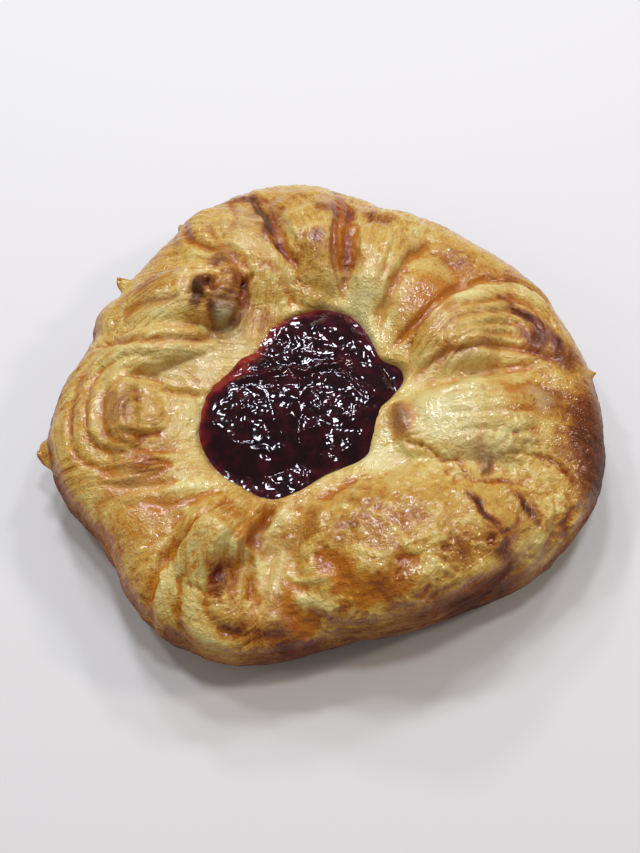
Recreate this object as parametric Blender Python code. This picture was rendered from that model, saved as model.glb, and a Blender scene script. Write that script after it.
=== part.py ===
"""Danish pastry: a ring of laminated dough folds round a well of red jam.

Metres, +Z up. The pastry rests on its flat base at z = 0, and the origin is in the middle of the
box round it. Sizes below are in millimetres and degrees. Places are mostly polar: an angle
anticlockwise from +X, as seen from above, and a reach from the middle of the jam well.
"""

import math
from typing import NamedTuple

import bmesh
import bpy
import numpy as np
from mathutils import Vector, noise
from mathutils.bvhtree import BVHTree

MM = 0.001

# The jam well's middle, from the middle of the pastry.
WELL_X = -4.45
WELL_Y = -2.7

# Two outlines round the well, as reaches at equal steps of angle from +X: the outer edge of the
# pastry, and the edge of the jam.
EDGE_RADII = (
    62.5, 61.0, 60.0, 57.5, 56.0, 55.5,
    58.2, 57.2, 53.0, 50.0, 48.0, 48.0,
    51.0, 52.5, 49.0, 49.4, 54.0, 54.0,
    50.8, 49.0, 49.5, 54.8, 60.0, 63.0,
)
JAM_RADII = (
    18.5, 22.0, 18.4, 20.0, 21.4, 21.6,
    19.4, 17.0, 14.2, 12.8, 12.8, 13.8,
    18.0, 20.2, 22.4, 23.2, 23.0, 23.4,
    20.8, 18.4, 18.2, 18.6, 15.8, 15.0,
)

# The rim roll runs round the edge under the folds, and the shoulder roll round the jam.
RIM_HALF_WIDTH = 12.0
RIM_TOP = 20.0
SHOULDER_HALF_WIDTH = 11.0
SHOULDER_TOP = 20.5
SHOULDER_SETBACK = 6.4

# The sheet of dough under everything, and the thicker bed under the jam.
SHEET_TOP = 8.0
SHEET_INSET = 7.0
BED_RADIUS = 26.0
BED_TOP = 13.0

# The jam: the level of its edge, how far it tucks under the dough, how deep its edge and its
# middle go, and the gap left round it.
JAM_LEVEL = 18.5
JAM_REACH = 1.3
JAM_RIM_DEPTH = 2.4
JAM_FLOOR = 7.0
JAM_CLEARANCE = 0.3

# The well: how far the dough stays below the jam's level inside its outline, and how steeply it
# rises from just inside it.
WELL_DEPTH = 1.8
WELL_SLOPE = 2.2
WELL_LIP = 0.7

# The section of a roll: an oval with full shoulders, whose ends are rounded off.
SECTION_POWER = 2.4
CAP_LENGTH = 0.75
CAP_MARGIN = 0.35

# The relief of the crust: soft waves all over, and the laminated steps that run along the folds.
WAVE_LENGTH = 7.0
WAVE_RISE = 0.5
LAYER_RISE = 0.8
LAYER_CLIMB = 0.7
RELIEF_FROM = 2.0
RELIEF_RISE = 8.0

# How the folds run into each other: the share of heavy smoothing that is mixed in.
SOFTENING = 0.45
SOFTENING_ROUNDS = 12

# Meshing: the voxels that grow the dough together, and the triangles that are kept.
VOXEL = 1.0
SMOOTHING = 0.5
SMOOTHING_ROUNDS = 4
DOUGH_TRIANGLES = 9600
OUTLINE_STEP = 5
RING_POINTS = 32
SPINE_STEPS = 18
CAP_STEPS = 6
FLAKE_STEPS = 8
JAM_STEP = 8
JAM_RINGS = 9
BASE_SNAP = 0.5

# Where the search for the jam's edge starts and ends, its step, and a height above the pastry.
SEARCH_FROM = 4.0
SEARCH_TO = 30.0
SEARCH_STEP = 0.25
ABOVE_ALL = 60.0


class Fold(NamedTuple):
    """One fold of dough: a rounded roll along an arc, from beside the jam out to the edge.

    bend turns its middle sideways, swell widens its middle and arch lifts its middle.
    layer is the spacing of the laminated steps that run along it, or 0 where it is smooth.
    """

    name: str
    angle_in: float
    angle_out: float
    bend: float
    reach_in: float
    reach_out: float
    half_in: float
    half_out: float
    swell: float
    top_in: float
    top_out: float
    arch: float
    layer: float


FOLDS = (
    Fold("upper_left", 112, 118, -9, 23, 41.5, 7, 14, 0, 21, 23, 3.5, 4.5),
    Fold("upper", 87, 91, -4, 25, 45, 8.5, 12.5, 0, 22, 23.5, 4.5, 0),
    Fold("upper_right", 55, 66, 2, 25, 45, 6, 13, 0, 21.5, 22, 4, 5),
    Fold("glazed_panel", 32, 46, 5, 25, 46, 6, 9, 0, 21, 19, 4, 0),
    Fold("fanned_roll", 13, 19, 7, 24.5, 46, 4.5, 14.5, 1, 21, 20, 5, 4.5),
    Fold("right", -20, -7, 4, 25, 48, 10, 13.5, 0, 23.5, 21.5, 3.5, 0),
    Fold("lower_right", -78, -30, 0, 34.5, 41.5, 14.5, 15, 0.5, 24, 22, 4, 0),
    Fold("lower_fan", -115, -111, -3, 28, 43, 6.5, 11, 0, 22, 18, 6, 4.5),
    Fold("left_slope", -134, -141, 0, 29, 40.5, 4.5, 11, 0, 20.5, 15, 3, 0),
    Fold("left_band", -149, -156, 0, 28, 43, 3.5, 6, 0, 20.5, 17, 4, 3.5),
    Fold("rosette", -172, -172, 0, 32, 39, 11.5, 13, 0, 22.5, 22, 3, 0),
    Fold("upper_band", 148, 173, 0, 22, 41, 5, 7.5, 0, 21.5, 20, 4, 4),
    Fold("snail_roll", 126, 155, 0, 28, 40, 8.5, 10, 0, 28, 20.5, 2, 4),
)

# The spirals that show in the crust: the rosette's middle and the snail roll's end.
# Each is an angle, a reach, an outer radius, a pitch and a depth.
SPIRALS = (
    (-171, 34, 13.0, 5.0, 0.5),
    (129, 30, 9.0, 4.5, 1.0),
)

# The creases where folds meet: angle and reach of each end, half width and depth.
CREASES = (
    (68, 24, 80, 50, 2.6, 2.4),
    (-99, 22, -101, 53, 2.6, 2.4),
    (93, 31, 104, 52, 2.2, 1.2),
    (4, 22, 9, 56, 2.2, 1.0),
    (-47, 24, -22, 50, 3.0, 1.0),
)

# Loose flakes that stand out of the edge: angle, reach of the middle, length, half width, height.
FLAKES = (
    (190.5, 51.2, 7.0, 4.8, 9.5),
    (7, 58.7, 7.0, 1.8, 13.0),
    (121, 50.3, 6.5, 1.8, 14.0),
    (142, 47.6, 7.0, 2.2, 13.0),
)
FLAKE_THICKNESS = 2.2
FLAKE_TAPER = 0.35
FLAKE_TIP = 0.12
FLAKE_LIFT = 1.5

# The jam's mounds: where each is from the well's middle, its radius and its rise over the level.
JAM_MOUNDS = (
    (3.5, 12.0, 15.5, 1.9),
    (-9.5, -5.0, 14.5, 2.4),
    (6.5, -6.5, 13.5, 2.3),
)


def around_outline(radii, angle):
    """The reach of an outline at an angle in degrees, smooth between its steps."""
    place = (angle * len(radii) / 360) % len(radii)
    step = int(place)
    share = place - step
    before, here, after, beyond = (radii[(step + k) % len(radii)] for k in (-1, 0, 1, 2))
    slope_here = (after - before) / 2
    slope_after = (beyond - here) / 2
    square = share * share
    cube = square * share
    return (
        (2 * cube - 3 * square + 1) * here
        + (cube - 2 * square + share) * slope_here
        + (3 * square - 2 * cube) * after
        + (cube - square) * slope_after
    )


def from_well(angle, reach, height=0.0):
    """A point at an angle in degrees, a reach from the well's middle and a height."""
    turn = math.radians(angle)
    return Vector((WELL_X + reach * math.cos(turn), WELL_Y + reach * math.sin(turn), height))


def fold_station(fold, share):
    """(point on the spine at floor level, half width, top height) at a share of the fold's length."""
    middle = 4 * share * (1 - share)
    angle = fold.angle_in + (fold.angle_out - fold.angle_in) * share + fold.bend * middle
    reach = fold.reach_in + (fold.reach_out - fold.reach_in) * share
    half = fold.half_in + (fold.half_out - fold.half_in) * share + fold.swell * middle
    top = fold.top_in + (fold.top_out - fold.top_in) * share + fold.arch * middle
    return from_well(angle, reach), half, top


def section(around, half, top, shrink):
    """(sideways, height) of a point at an angle round a roll's section: an oval with full shoulders."""
    power = 2 / SECTION_POWER
    across = math.copysign(abs(math.cos(around)) ** power, math.cos(around))
    above = math.copysign(abs(math.sin(around)) ** power, math.sin(around))
    return half * across, top / 2 * (1 + shrink * above)


def with_caps(stations):
    """The stations with a rounded end added at each end: rings that shrink round a quarter turn."""
    def cap(end, inside):
        here, half, top = end
        outward = (here - inside[0]).normalized()
        rings = []
        for step in range(1, CAP_STEPS + 1):
            turn = math.pi / 2 * step / (CAP_STEPS + CAP_MARGIN)
            shrink = math.cos(turn)
            moved = here + outward * (CAP_LENGTH * half * math.sin(turn))
            rings.append((moved, half * shrink, top, shrink))
        return rings

    body = [(p, half, top, 1.0) for p, half, top in stations]
    inner = cap(stations[0], stations[1])
    outer = cap(stations[-1], stations[-2])
    return list(reversed(inner)) + body + outer


def add_roll(points, faces, rings, closed):
    """Adds a roll that stands on the floor, from rings of (point, half width, top height, shrink)."""
    first = len(points)
    count = len(rings)
    for index, (here, half, top, shrink) in enumerate(rings):
        if closed:
            ahead = rings[(index + 1) % count][0] - rings[index - 1][0]
        else:
            ahead = rings[min(index + 1, count - 1)][0] - rings[max(index - 1, 0)][0]
        side = Vector((-ahead.y, ahead.x, 0)).normalized()
        for turn in range(RING_POINTS):
            sideways, height = section(2 * math.pi * turn / RING_POINTS, half, top, shrink)
            points.append(here + side * sideways + Vector((0, 0, height)))
    for index in range(count if closed else count - 1):
        ring = first + index * RING_POINTS
        following = first + (index + 1) % count * RING_POINTS
        for turn in range(RING_POINTS):
            beside = (turn + 1) % RING_POINTS
            faces.append((ring + turn, ring + beside, following + beside, following + turn))
    if not closed:
        end = first + (count - 1) * RING_POINTS
        faces.append(tuple(first + turn for turn in reversed(range(RING_POINTS))))
        faces.append(tuple(end + turn for turn in range(RING_POINTS)))


def add_ring_roll(points, faces, radii, setback, half, top):
    """Adds a closed roll round the well, set back from an outline (outward when positive)."""
    rings = []
    for angle in range(0, 360, OUTLINE_STEP):
        rings.append((from_well(angle, around_outline(radii, angle) + setback), half, top, 1.0))
    add_roll(points, faces, rings, closed=True)


def add_slab(points, faces, outline, top):
    """Adds an upright slab from the floor to a height, over an outline of points on the floor."""
    first = len(points)
    count = len(outline)
    points.extend(outline)
    points.extend(p + Vector((0, 0, top)) for p in outline)
    for index in range(count):
        beside = (index + 1) % count
        faces.append((first + index, first + beside, first + count + beside, first + count + index))
    faces.append(tuple(first + index for index in reversed(range(count))))
    faces.append(tuple(first + count + index for index in range(count)))


def add_flake(points, faces, angle, reach, length, half, height):
    """Adds a pointed flake that stands out from the edge and tilts up a little at its tip."""
    rings = []
    for step in range(FLAKE_STEPS + 1):
        share = step / FLAKE_STEPS
        wide = max(FLAKE_TIP, math.sqrt(1 - share ** 2))
        here = from_well(angle, reach + length * (share - 0.5), height + FLAKE_LIFT * share)
        rings.append((here, half * wide, FLAKE_THICKNESS * (1 - FLAKE_TAPER * share), 1.0))
    add_roll(points, faces, rings, closed=False)


def object_from(name, points, faces, material):
    """A new mesh object from points in millimetres, with its faces turned outward."""
    mesh = bpy.data.meshes.new(name)
    mesh.from_pydata([p * MM for p in points], [], faces)
    shape = bmesh.new()
    shape.from_mesh(mesh)
    bmesh.ops.recalc_face_normals(shape, faces=shape.faces)
    shape.to_mesh(mesh)
    shape.free()
    made = bpy.data.objects.new(name, mesh)
    made.data.materials.append(material)
    bpy.context.scene.collection.objects.link(made)
    return made


def finish(name, colour, roughness, coat):
    """A Principled material with the part's own colour."""
    material = bpy.data.materials.new(name)
    material.use_nodes = True
    shader = material.node_tree.nodes["Principled BSDF"]
    shader.inputs["Base Color"].default_value = (*colour, 1)
    shader.inputs["Roughness"].default_value = roughness
    shader.inputs["Coat Weight"].default_value = coat
    return material


def apply_modifiers(made):
    """Puts an object's evaluated mesh in place of its mesh and modifiers."""
    graph = bpy.context.evaluated_depsgraph_get()
    mesh = bpy.data.meshes.new_from_object(made.evaluated_get(graph))
    made.modifiers.clear()
    made.data = mesh


def keep_outer_shell(made):
    """Deletes every closed shell of a mesh but the one with the most faces, so that none is inside."""
    shape = bmesh.new()
    shape.from_mesh(made.data)
    left = set(shape.faces)
    shells = []
    while left:
        shell = set()
        open_faces = [left.pop()]
        while open_faces:
            face = open_faces.pop()
            shell.add(face)
            for edge in face.edges:
                for other in edge.link_faces:
                    if other in left:
                        left.discard(other)
                        open_faces.append(other)
        shells.append(shell)
    shells.sort(key=len)
    for shell in shells[:-1]:
        bmesh.ops.delete(shape, geom=list(shell), context="FACES")
    shape.to_mesh(made.data)
    shape.free()


def owning_folds(plan):
    """For plan points: which fold's roll stands highest (-1 for none), and mm along and across it."""
    steps = 2 * SPINE_STEPS
    best = np.zeros(len(plan))
    owner = np.full(len(plan), -1)
    along = np.zeros(len(plan))
    across = np.zeros(len(plan))
    for number, fold in enumerate(FOLDS):
        stations = [fold_station(fold, k / steps) for k in range(steps + 1)]
        spine = np.array([(p.x, p.y) for p, _, _ in stations])
        size = np.array([(half, top) for _, half, top in stations])
        run = spine[1:] - spine[:-1]
        length = np.linalg.norm(run, axis=1)
        offset = plan[:, None, :] - spine[None, :-1, :]
        reach = (offset * run).sum(axis=2) / length
        inside = np.clip(reach, 0, length)
        side = (run[:, 0] * offset[:, :, 1] - run[:, 1] * offset[:, :, 0]) / length
        beyond = reach - inside
        near = np.argmin(side ** 2 + beyond ** 2, axis=1)
        rows = np.arange(len(plan))
        share = inside[rows, near] / length[near]
        half, top = (size[near] * (1 - share)[:, None] + size[near + 1] * share[:, None]).T
        span = (np.abs(side[rows, near]) / half) ** SECTION_POWER
        span += (np.abs(beyond[rows, near]) / (CAP_LENGTH * half)) ** SECTION_POWER
        height = top / 2 * (1 + np.clip(1 - span, 0, 1) ** (1 / SECTION_POWER))
        higher = (span < 1) & (height > best)
        best[higher] = height[higher]
        owner[higher] = number
        along[higher] = (near * length.mean() + inside[rows, near])[higher]
        across[higher] = side[rows, near][higher]
    return owner, along, across


def crease_depth(angle, reach):
    """How deep the creases between folds are at a place."""
    depth = 0.0
    for angle_in, reach_in, angle_out, reach_out, half, deepest in CREASES:
        share = (reach - reach_in) / (reach_out - reach_in)
        if 0 < share < 1:
            off = math.radians(angle - angle_in - (angle_out - angle_in) * share) * reach / half
            if abs(off) < 1:
                depth = max(depth, deepest * (1 - off * off) * min(1, 4 * share, 4 * (1 - share)))
    return depth


def spiral_rise(point):
    """The rise of the spirals at a point: a ridge that winds out from the middle and fades."""
    rise = 0.0
    for angle, reach, radius, pitch, depth in SPIRALS:
        middle = from_well(angle, reach)
        away = math.hypot(point.x - middle.x, point.y - middle.y)
        if away < radius:
            turn = math.atan2(point.y - middle.y, point.x - middle.x) / (2 * math.pi)
            rise += depth * math.cos(2 * math.pi * (away / pitch - turn)) * (1 - away / radius)
    return rise


def layer_rise(fold, along, across):
    """The rise of the laminated steps that run along a fold: a slow climb, then a short drop."""
    if not fold.layer:
        return 0.0
    wander = WAVE_RISE * noise.noise(Vector((along, across, 0)) / (2 * WAVE_LENGTH))
    phase = (across / fold.layer + wander) % 1
    climb = phase / LAYER_CLIMB if phase < LAYER_CLIMB else (1 - phase) / (1 - LAYER_CLIMB)
    return LAYER_RISE * (climb - 0.5)


def well_height(angle, reach):
    """The greatest height of the dough at a place: under the jam, then rising steeply round it."""
    past_jam = reach - around_outline(JAM_RADII, angle)
    return JAM_LEVEL - WELL_DEPTH + WELL_SLOPE * max(past_jam + WELL_LIP, 0)


def shape_crust(dough):
    """Moves the points of the grown dough by the relief, sinks the well and levels the base."""
    points = [v.co / MM for v in dough.data.vertices]
    normals = [v.normal.copy() for v in dough.data.vertices]
    owner, along, across = owning_folds(np.array([(p.x, p.y) for p in points]))
    for index, (point, normal) in enumerate(zip(points, normals)):
        if point.z > RELIEF_FROM:
            reach = math.hypot(point.x - WELL_X, point.y - WELL_Y)
            angle = math.degrees(math.atan2(point.y - WELL_Y, point.x - WELL_X))
            rise = WAVE_RISE * noise.noise(point / WAVE_LENGTH)
            rise += spiral_rise(point) - crease_depth(angle, reach)
            if owner[index] >= 0:
                rise += layer_rise(FOLDS[owner[index]], along[index], across[index])
            point = point + normal * (rise * min(1, (point.z - RELIEF_FROM) / RELIEF_RISE))
            if point.z > BED_TOP / 2:
                point.z = min(point.z, well_height(angle, reach))
        if point.z < BASE_SNAP:
            point.z = 0.0
        dough.data.vertices[index].co = point * MM


def soften(dough):
    """Eases the valleys between the folds by mixing in a heavily smoothed copy, but not the walls."""
    mesh = dough.data
    points = np.array([v.co for v in mesh.vertices])
    upright = np.array([v.normal.z for v in mesh.vertices])
    edges = np.array([edge.vertices for edge in mesh.edges])
    ends = np.concatenate([edges[:, 0], edges[:, 1]])
    others = np.concatenate([edges[:, 1], edges[:, 0]])
    count = np.bincount(ends, minlength=len(points))[:, None]
    smoothed = points
    for _ in range(SOFTENING_ROUNDS):
        total = [np.bincount(ends, column[others], minlength=len(points)) for column in smoothed.T]
        smoothed = np.stack(total, axis=1) / count
    on_top = np.clip(2 * upright - 0.8, 0, 1)
    high = np.clip((points[:, 2] / MM - RELIEF_FROM) / RELIEF_RISE, 0, 1)
    points += (smoothed - points) * (SOFTENING * on_top * high)[:, None]
    mesh.vertices.foreach_set("co", points.ravel())
    mesh.update()


def make_dough():
    """The dough as one solid: sheet, bed, rolls, folds and flakes grown together."""
    points = []
    faces = []
    angles = range(0, 360, OUTLINE_STEP)
    sheet = [from_well(angle, around_outline(EDGE_RADII, angle) - SHEET_INSET) for angle in angles]
    bed = [from_well(angle, BED_RADIUS) for angle in angles]
    add_slab(points, faces, sheet, SHEET_TOP)
    add_slab(points, faces, bed, BED_TOP)
    add_ring_roll(points, faces, EDGE_RADII, -RIM_HALF_WIDTH, RIM_HALF_WIDTH, RIM_TOP)
    add_ring_roll(points, faces, JAM_RADII, SHOULDER_SETBACK, SHOULDER_HALF_WIDTH, SHOULDER_TOP)
    for fold in FOLDS:
        stations = [fold_station(fold, step / SPINE_STEPS) for step in range(SPINE_STEPS + 1)]
        add_roll(points, faces, with_caps(stations), closed=False)
    for flake in FLAKES:
        add_flake(points, faces, *flake)
    dough = object_from("dough", points, faces, finish("baked_dough", (0.60, 0.36, 0.12), 0.35, 0.6))
    grown = dough.modifiers.new("grown_together", "REMESH")
    grown.mode = "VOXEL"
    grown.voxel_size = VOXEL * MM
    apply_modifiers(dough)
    keep_outer_shell(dough)
    eased = dough.modifiers.new("eased", "SMOOTH")
    eased.factor = SMOOTHING
    eased.iterations = SMOOTHING_ROUNDS
    apply_modifiers(dough)
    soften(dough)
    shape_crust(dough)
    fewer = dough.modifiers.new("fewer_faces", "DECIMATE")
    dough.data.calc_loop_triangles()
    fewer.ratio = DOUGH_TRIANGLES / len(dough.data.loop_triangles)
    apply_modifiers(dough)
    dough.data.shade_smooth()
    return dough


def jam_top(angle, reach):
    """The height of the jam's surface: soft mounds that meet in shallow valleys."""
    x = reach * math.cos(math.radians(angle))
    y = reach * math.sin(math.radians(angle))
    rise = 0.0
    for mound_x, mound_y, radius, height in JAM_MOUNDS:
        away = math.hypot(x - mound_x, y - mound_y) / radius
        rise = max(rise, height * (1 - away * away))
    return JAM_LEVEL + rise


def jam_edge(surface, angle):
    """How far the jam goes at an angle: to where its surface meets the dough."""
    reach = SEARCH_FROM
    while reach < SEARCH_TO:
        here = from_well(angle, reach, ABOVE_ALL)
        hit = surface.ray_cast(here * MM, Vector((0, 0, -1)))[0]
        if hit.z / MM > jam_top(angle, reach):
            break
        reach += SEARCH_STEP
    return reach


def make_jam(edges, clearance):
    """(points, faces) of the jam, grown by a clearance: top, edge and a bowl-shaped underside."""
    rings = JAM_RINGS
    count = len(edges)
    step = 360 / count
    points = [from_well(0, 0, jam_top(0, 0) + clearance)]
    for ring in range(1, rings + 1):
        for index, edge in enumerate(edges):
            reach = (edge + JAM_REACH) * ring / rings
            height = jam_top(index * step, reach)
            points.append(from_well(index * step, reach + clearance * ring / rings, height + clearance))
    for ring in range(rings, 0, -1):
        for index, edge in enumerate(edges):
            reach = (edge + JAM_REACH) * ring / rings
            rim = jam_top(index * step, edge + JAM_REACH) - JAM_RIM_DEPTH
            height = JAM_FLOOR + (rim - JAM_FLOOR) * (ring / rings) ** 3
            points.append(from_well(index * step, reach + clearance * ring / rings, height - clearance))
    points.append(from_well(0, 0, JAM_FLOOR - clearance))
    faces = []
    for index in range(count):
        beside = (index + 1) % count
        faces.append((0, 1 + index, 1 + beside))
        for ring in range(2 * rings - 1):
            here = 1 + ring * count
            faces.append((here + index, here + count + index, here + count + beside, here + beside))
        last = 1 + (2 * rings - 1) * count
        faces.append((last + index, len(points) - 1, last + beside))
    return points, faces


def main():
    for old in list(bpy.data.objects):
        bpy.data.objects.remove(old)
    dough = make_dough()
    surface = BVHTree.FromObject(dough, bpy.context.evaluated_depsgraph_get())
    edges = [jam_edge(surface, angle) for angle in range(0, 360, JAM_STEP)]
    red = finish("red_jam", (0.12, 0.0, 0.01), 0.1, 1.0)
    object_from("jam_filling", *make_jam(edges, 0.0), red)
    cutter = object_from("jam_hollow", *make_jam(edges, JAM_CLEARANCE), red)
    cutter.hide_render = True
    cutter.display_type = "WIRE"
    hollow = dough.modifiers.new("jam_hollow", "BOOLEAN")
    hollow.object = cutter
    hollow.operation = "DIFFERENCE"


main()
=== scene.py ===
"""The looks of a danish pastry: glazed, laminated dough folds round a well of lumpy red jam.

Sizes are in millimetres and degrees, and become metres where a mesh is made. Places on the pastry
are mostly polar, as in the solid model: an angle anticlockwise from +X, and a reach from the
middle of the jam well.
"""

import itertools
import math
from typing import NamedTuple

import bmesh
import bpy
import numpy as np
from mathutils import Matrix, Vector


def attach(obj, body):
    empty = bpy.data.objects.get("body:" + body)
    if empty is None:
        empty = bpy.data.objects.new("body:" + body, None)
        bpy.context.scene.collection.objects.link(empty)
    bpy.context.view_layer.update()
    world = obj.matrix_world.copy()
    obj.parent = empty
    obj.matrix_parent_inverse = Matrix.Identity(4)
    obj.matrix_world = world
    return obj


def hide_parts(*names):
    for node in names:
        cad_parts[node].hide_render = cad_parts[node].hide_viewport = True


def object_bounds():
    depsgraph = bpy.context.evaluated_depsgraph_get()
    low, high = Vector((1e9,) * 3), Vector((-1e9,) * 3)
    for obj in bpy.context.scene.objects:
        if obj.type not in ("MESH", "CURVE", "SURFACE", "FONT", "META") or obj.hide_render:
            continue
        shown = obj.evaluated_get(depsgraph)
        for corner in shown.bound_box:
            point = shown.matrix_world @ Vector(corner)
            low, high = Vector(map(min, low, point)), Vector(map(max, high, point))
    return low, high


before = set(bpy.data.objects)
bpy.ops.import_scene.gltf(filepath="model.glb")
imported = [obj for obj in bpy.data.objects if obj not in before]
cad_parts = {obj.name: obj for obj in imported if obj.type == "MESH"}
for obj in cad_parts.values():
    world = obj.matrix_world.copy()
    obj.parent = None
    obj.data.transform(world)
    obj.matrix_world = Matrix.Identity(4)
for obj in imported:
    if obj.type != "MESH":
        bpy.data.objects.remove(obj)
cad_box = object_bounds()

# The dough: a sheet of laminated dough, gathered into folds round the filling and baked on a tray.
# It is one piece: a rim, a shoulder round the jam, and thirteen rolls that stand on them. Its form
# repeats the solid's own sizes, grown together much finer.

MM = 0.001
WELL_X = -4.45
WELL_Y = -2.7
EDGE_RADII = (
    62.5, 61.0, 60.0, 57.5, 56.0, 55.5,
    58.2, 57.2, 53.0, 50.0, 48.0, 48.0,
    51.0, 52.5, 49.0, 49.4, 54.0, 54.0,
    50.8, 49.0, 49.5, 54.8, 60.0, 63.0,
)
JAM_RADII = (
    18.5, 22.0, 18.4, 20.0, 21.4, 21.6,
    19.4, 17.0, 14.2, 12.8, 12.8, 13.8,
    18.0, 20.2, 22.4, 23.2, 23.0, 23.4,
    20.8, 18.4, 18.2, 18.6, 15.8, 15.0,
)
RIM_HALF_WIDTH = 12.0
RIM_TOP = 20.0
SHOULDER_HALF_WIDTH = 11.0
SHOULDER_TOP = 20.5
SHOULDER_SETBACK = 6.4
SHEET_TOP = 8.0
SHEET_INSET = 7.0
BED_RADIUS = 26.0
BED_TOP = 13.0
OUTLINE_TURN = 5
RING_POINTS = 48
SPINE_STEPS = 36
CAP_STEPS = 10
CAP_LENGTH = 0.75
SECTION_POWER = 2.4
FINE_VOXEL = 0.44


class Fold(NamedTuple):
    """One fold of dough: a rounded roll along an arc, from beside the jam out to the edge.

    steps and pitch are the rise and spacing of its laminated steps, crinkle is the rise of its
    baked crinkles, and wraps says that its layers turn round its outer end.
    """

    name: str
    angle_in: float
    angle_out: float
    bend: float
    reach_in: float
    reach_out: float
    half_in: float
    half_out: float
    swell: float
    top_in: float
    top_out: float
    arch: float
    steps: float
    pitch: float
    crinkle: float
    wraps: bool


FOLDS = (
    Fold("upper_left", 112, 118, -9, 23, 41.5, 7, 14, 0, 21, 23, 3.5, 0.55, 2.2, 0.15, False),
    Fold("upper", 87, 91, -4, 25, 45, 8.5, 12.5, 0, 22, 23.5, 4.5, 0.2, 2.6, 0.45, False),
    Fold("upper_right", 55, 66, 2, 25, 45, 6, 13, 0, 21.5, 22, 4, 0.35, 2.2, 0.4, False),
    Fold("glazed_panel", 32, 46, 5, 25, 46, 6, 9, 0, 21, 19, 4, 0.1, 3.0, 0.15, False),
    Fold("fanned_roll", 13, 19, 7, 24.5, 46, 4.5, 14.5, 1, 21, 20, 5, 0.6, 2.3, 0.15, True),
    Fold("right", -20, -7, 4, 25, 48, 10, 13.5, 0, 23.5, 21.5, 3.5, 0.2, 2.5, 0.2, False),
    Fold("lower_right", -78, -30, 0, 34.5, 41.5, 14.5, 15, 0.5, 24, 22, 4, 0.15, 3.0, 0.65, False),
    Fold("lower_fan", -115, -111, -3, 28, 43, 6.5, 11, 0, 22, 18, 6, 0.55, 2.1, 0.15, True),
    Fold("left_slope", -134, -141, 0, 29, 40.5, 4.5, 11, 0, 20.5, 15, 3, 0.15, 3.0, 0.25, False),
    Fold("left_band", -149, -156, 0, 28, 43, 3.5, 6, 0, 20.5, 17, 4, 0.55, 1.8, 0.1, False),
    Fold("rosette", -172, -172, 0, 32, 39, 11.5, 13, 0, 22.5, 22, 3, 0.35, 2.4, 0.2, True),
    Fold("upper_band", 148, 173, 0, 22, 41, 5, 7.5, 0, 21.5, 20, 4, 0.5, 1.9, 0.1, False),
    Fold("snail_roll", 126, 155, 0, 28, 40, 8.5, 10, 0, 28, 20.5, 2, 0.45, 1.9, 0.2, True),
)
# Each flake's angle, reach, length, half width and height.
FLAKES = (
    (190.5, 51.2, 7.0, 4.8, 9.5),
    (7, 58.7, 7.0, 1.8, 13.0),
    (121, 50.3, 6.5, 1.8, 14.0),
    (142, 47.6, 7.0, 2.2, 13.0),
)
FLAKE_THICKNESS = 2.2
FLAKE_TAPER = 0.35
FLAKE_TILT = 1.5
FLAKE_RINGS = 9
EASING = 0.5
EASING_ROUNDS = 8


class Roll(NamedTuple):
    """A roll of dough that stands on the tray: its spine in plan, half width and top height."""

    spine: np.ndarray
    half: np.ndarray
    top: np.ndarray
    closed: bool


def around_outline(radii, angles):
    """The reach of an outline at angles in degrees, smooth between its steps."""
    radii = np.asarray(radii)
    place = (np.asarray(angles, float) * len(radii) / 360) % len(radii)
    step = place.astype(int)
    share = place - step
    before, here, after, beyond = (radii[(step + k) % len(radii)] for k in (-1, 0, 1, 2))
    square = share ** 2
    cube = share ** 3
    return (
        (2 * cube - 3 * square + 1) * here
        + (cube - 2 * square + share) * (after - before) / 2
        + (3 * square - 2 * cube) * after
        + (cube - square) * (beyond - here) / 2
    )


def from_well(angle, reach):
    """Plan points at angles in degrees and reaches from the well's middle."""
    turn = np.radians(angle)
    return np.stack([WELL_X + reach * np.cos(turn), WELL_Y + reach * np.sin(turn)], axis=-1)


def fold_roll(fold):
    """The roll of one fold."""
    share = np.linspace(0, 1, SPINE_STEPS + 1)
    middle = 4 * share * (1 - share)
    angle = fold.angle_in + (fold.angle_out - fold.angle_in) * share + fold.bend * middle
    reach = fold.reach_in + (fold.reach_out - fold.reach_in) * share
    half = fold.half_in + (fold.half_out - fold.half_in) * share + fold.swell * middle
    top = fold.top_in + (fold.top_out - fold.top_in) * share + fold.arch * middle
    return Roll(from_well(angle, reach), half, top, False)


def ring_roll(radii, setback, half, top):
    """A closed roll round the well, set back from an outline."""
    angles = np.arange(0, 360, OUTLINE_TURN)
    spine = from_well(angles, around_outline(radii, angles) + setback)
    return Roll(spine, np.full(len(angles), half), np.full(len(angles), top), True)


def signed_power(values, power):
    """Each value raised to a power, with its sign kept."""
    return np.sign(values) * np.abs(values) ** power


def with_caps(roll):
    """(spine, half, top, shrink) of a roll's rings, with rounded ends where it isn't closed."""
    if roll.closed:
        return roll.spine, roll.half, roll.top, np.ones(len(roll.spine))
    turn = math.pi / 2 * np.arange(1, CAP_STEPS + 1) / (CAP_STEPS + 0.35)
    parts = []
    for end, inside in ((0, 1), (-1, -2)):
        outward = roll.spine[end] - roll.spine[inside]
        outward /= np.linalg.norm(outward)
        spine = roll.spine[end] + outward * (CAP_LENGTH * roll.half[end] * np.sin(turn))[:, None]
        top = np.full(CAP_STEPS, roll.top[end])
        parts.append((spine, roll.half[end] * np.cos(turn), top, np.cos(turn)))
    body = (roll.spine, roll.half, roll.top, np.ones(len(roll.spine)))
    inner = [values[::-1] for values in parts[0]]
    return [np.concatenate(three) for three in zip(inner, body, parts[1])]


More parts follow.
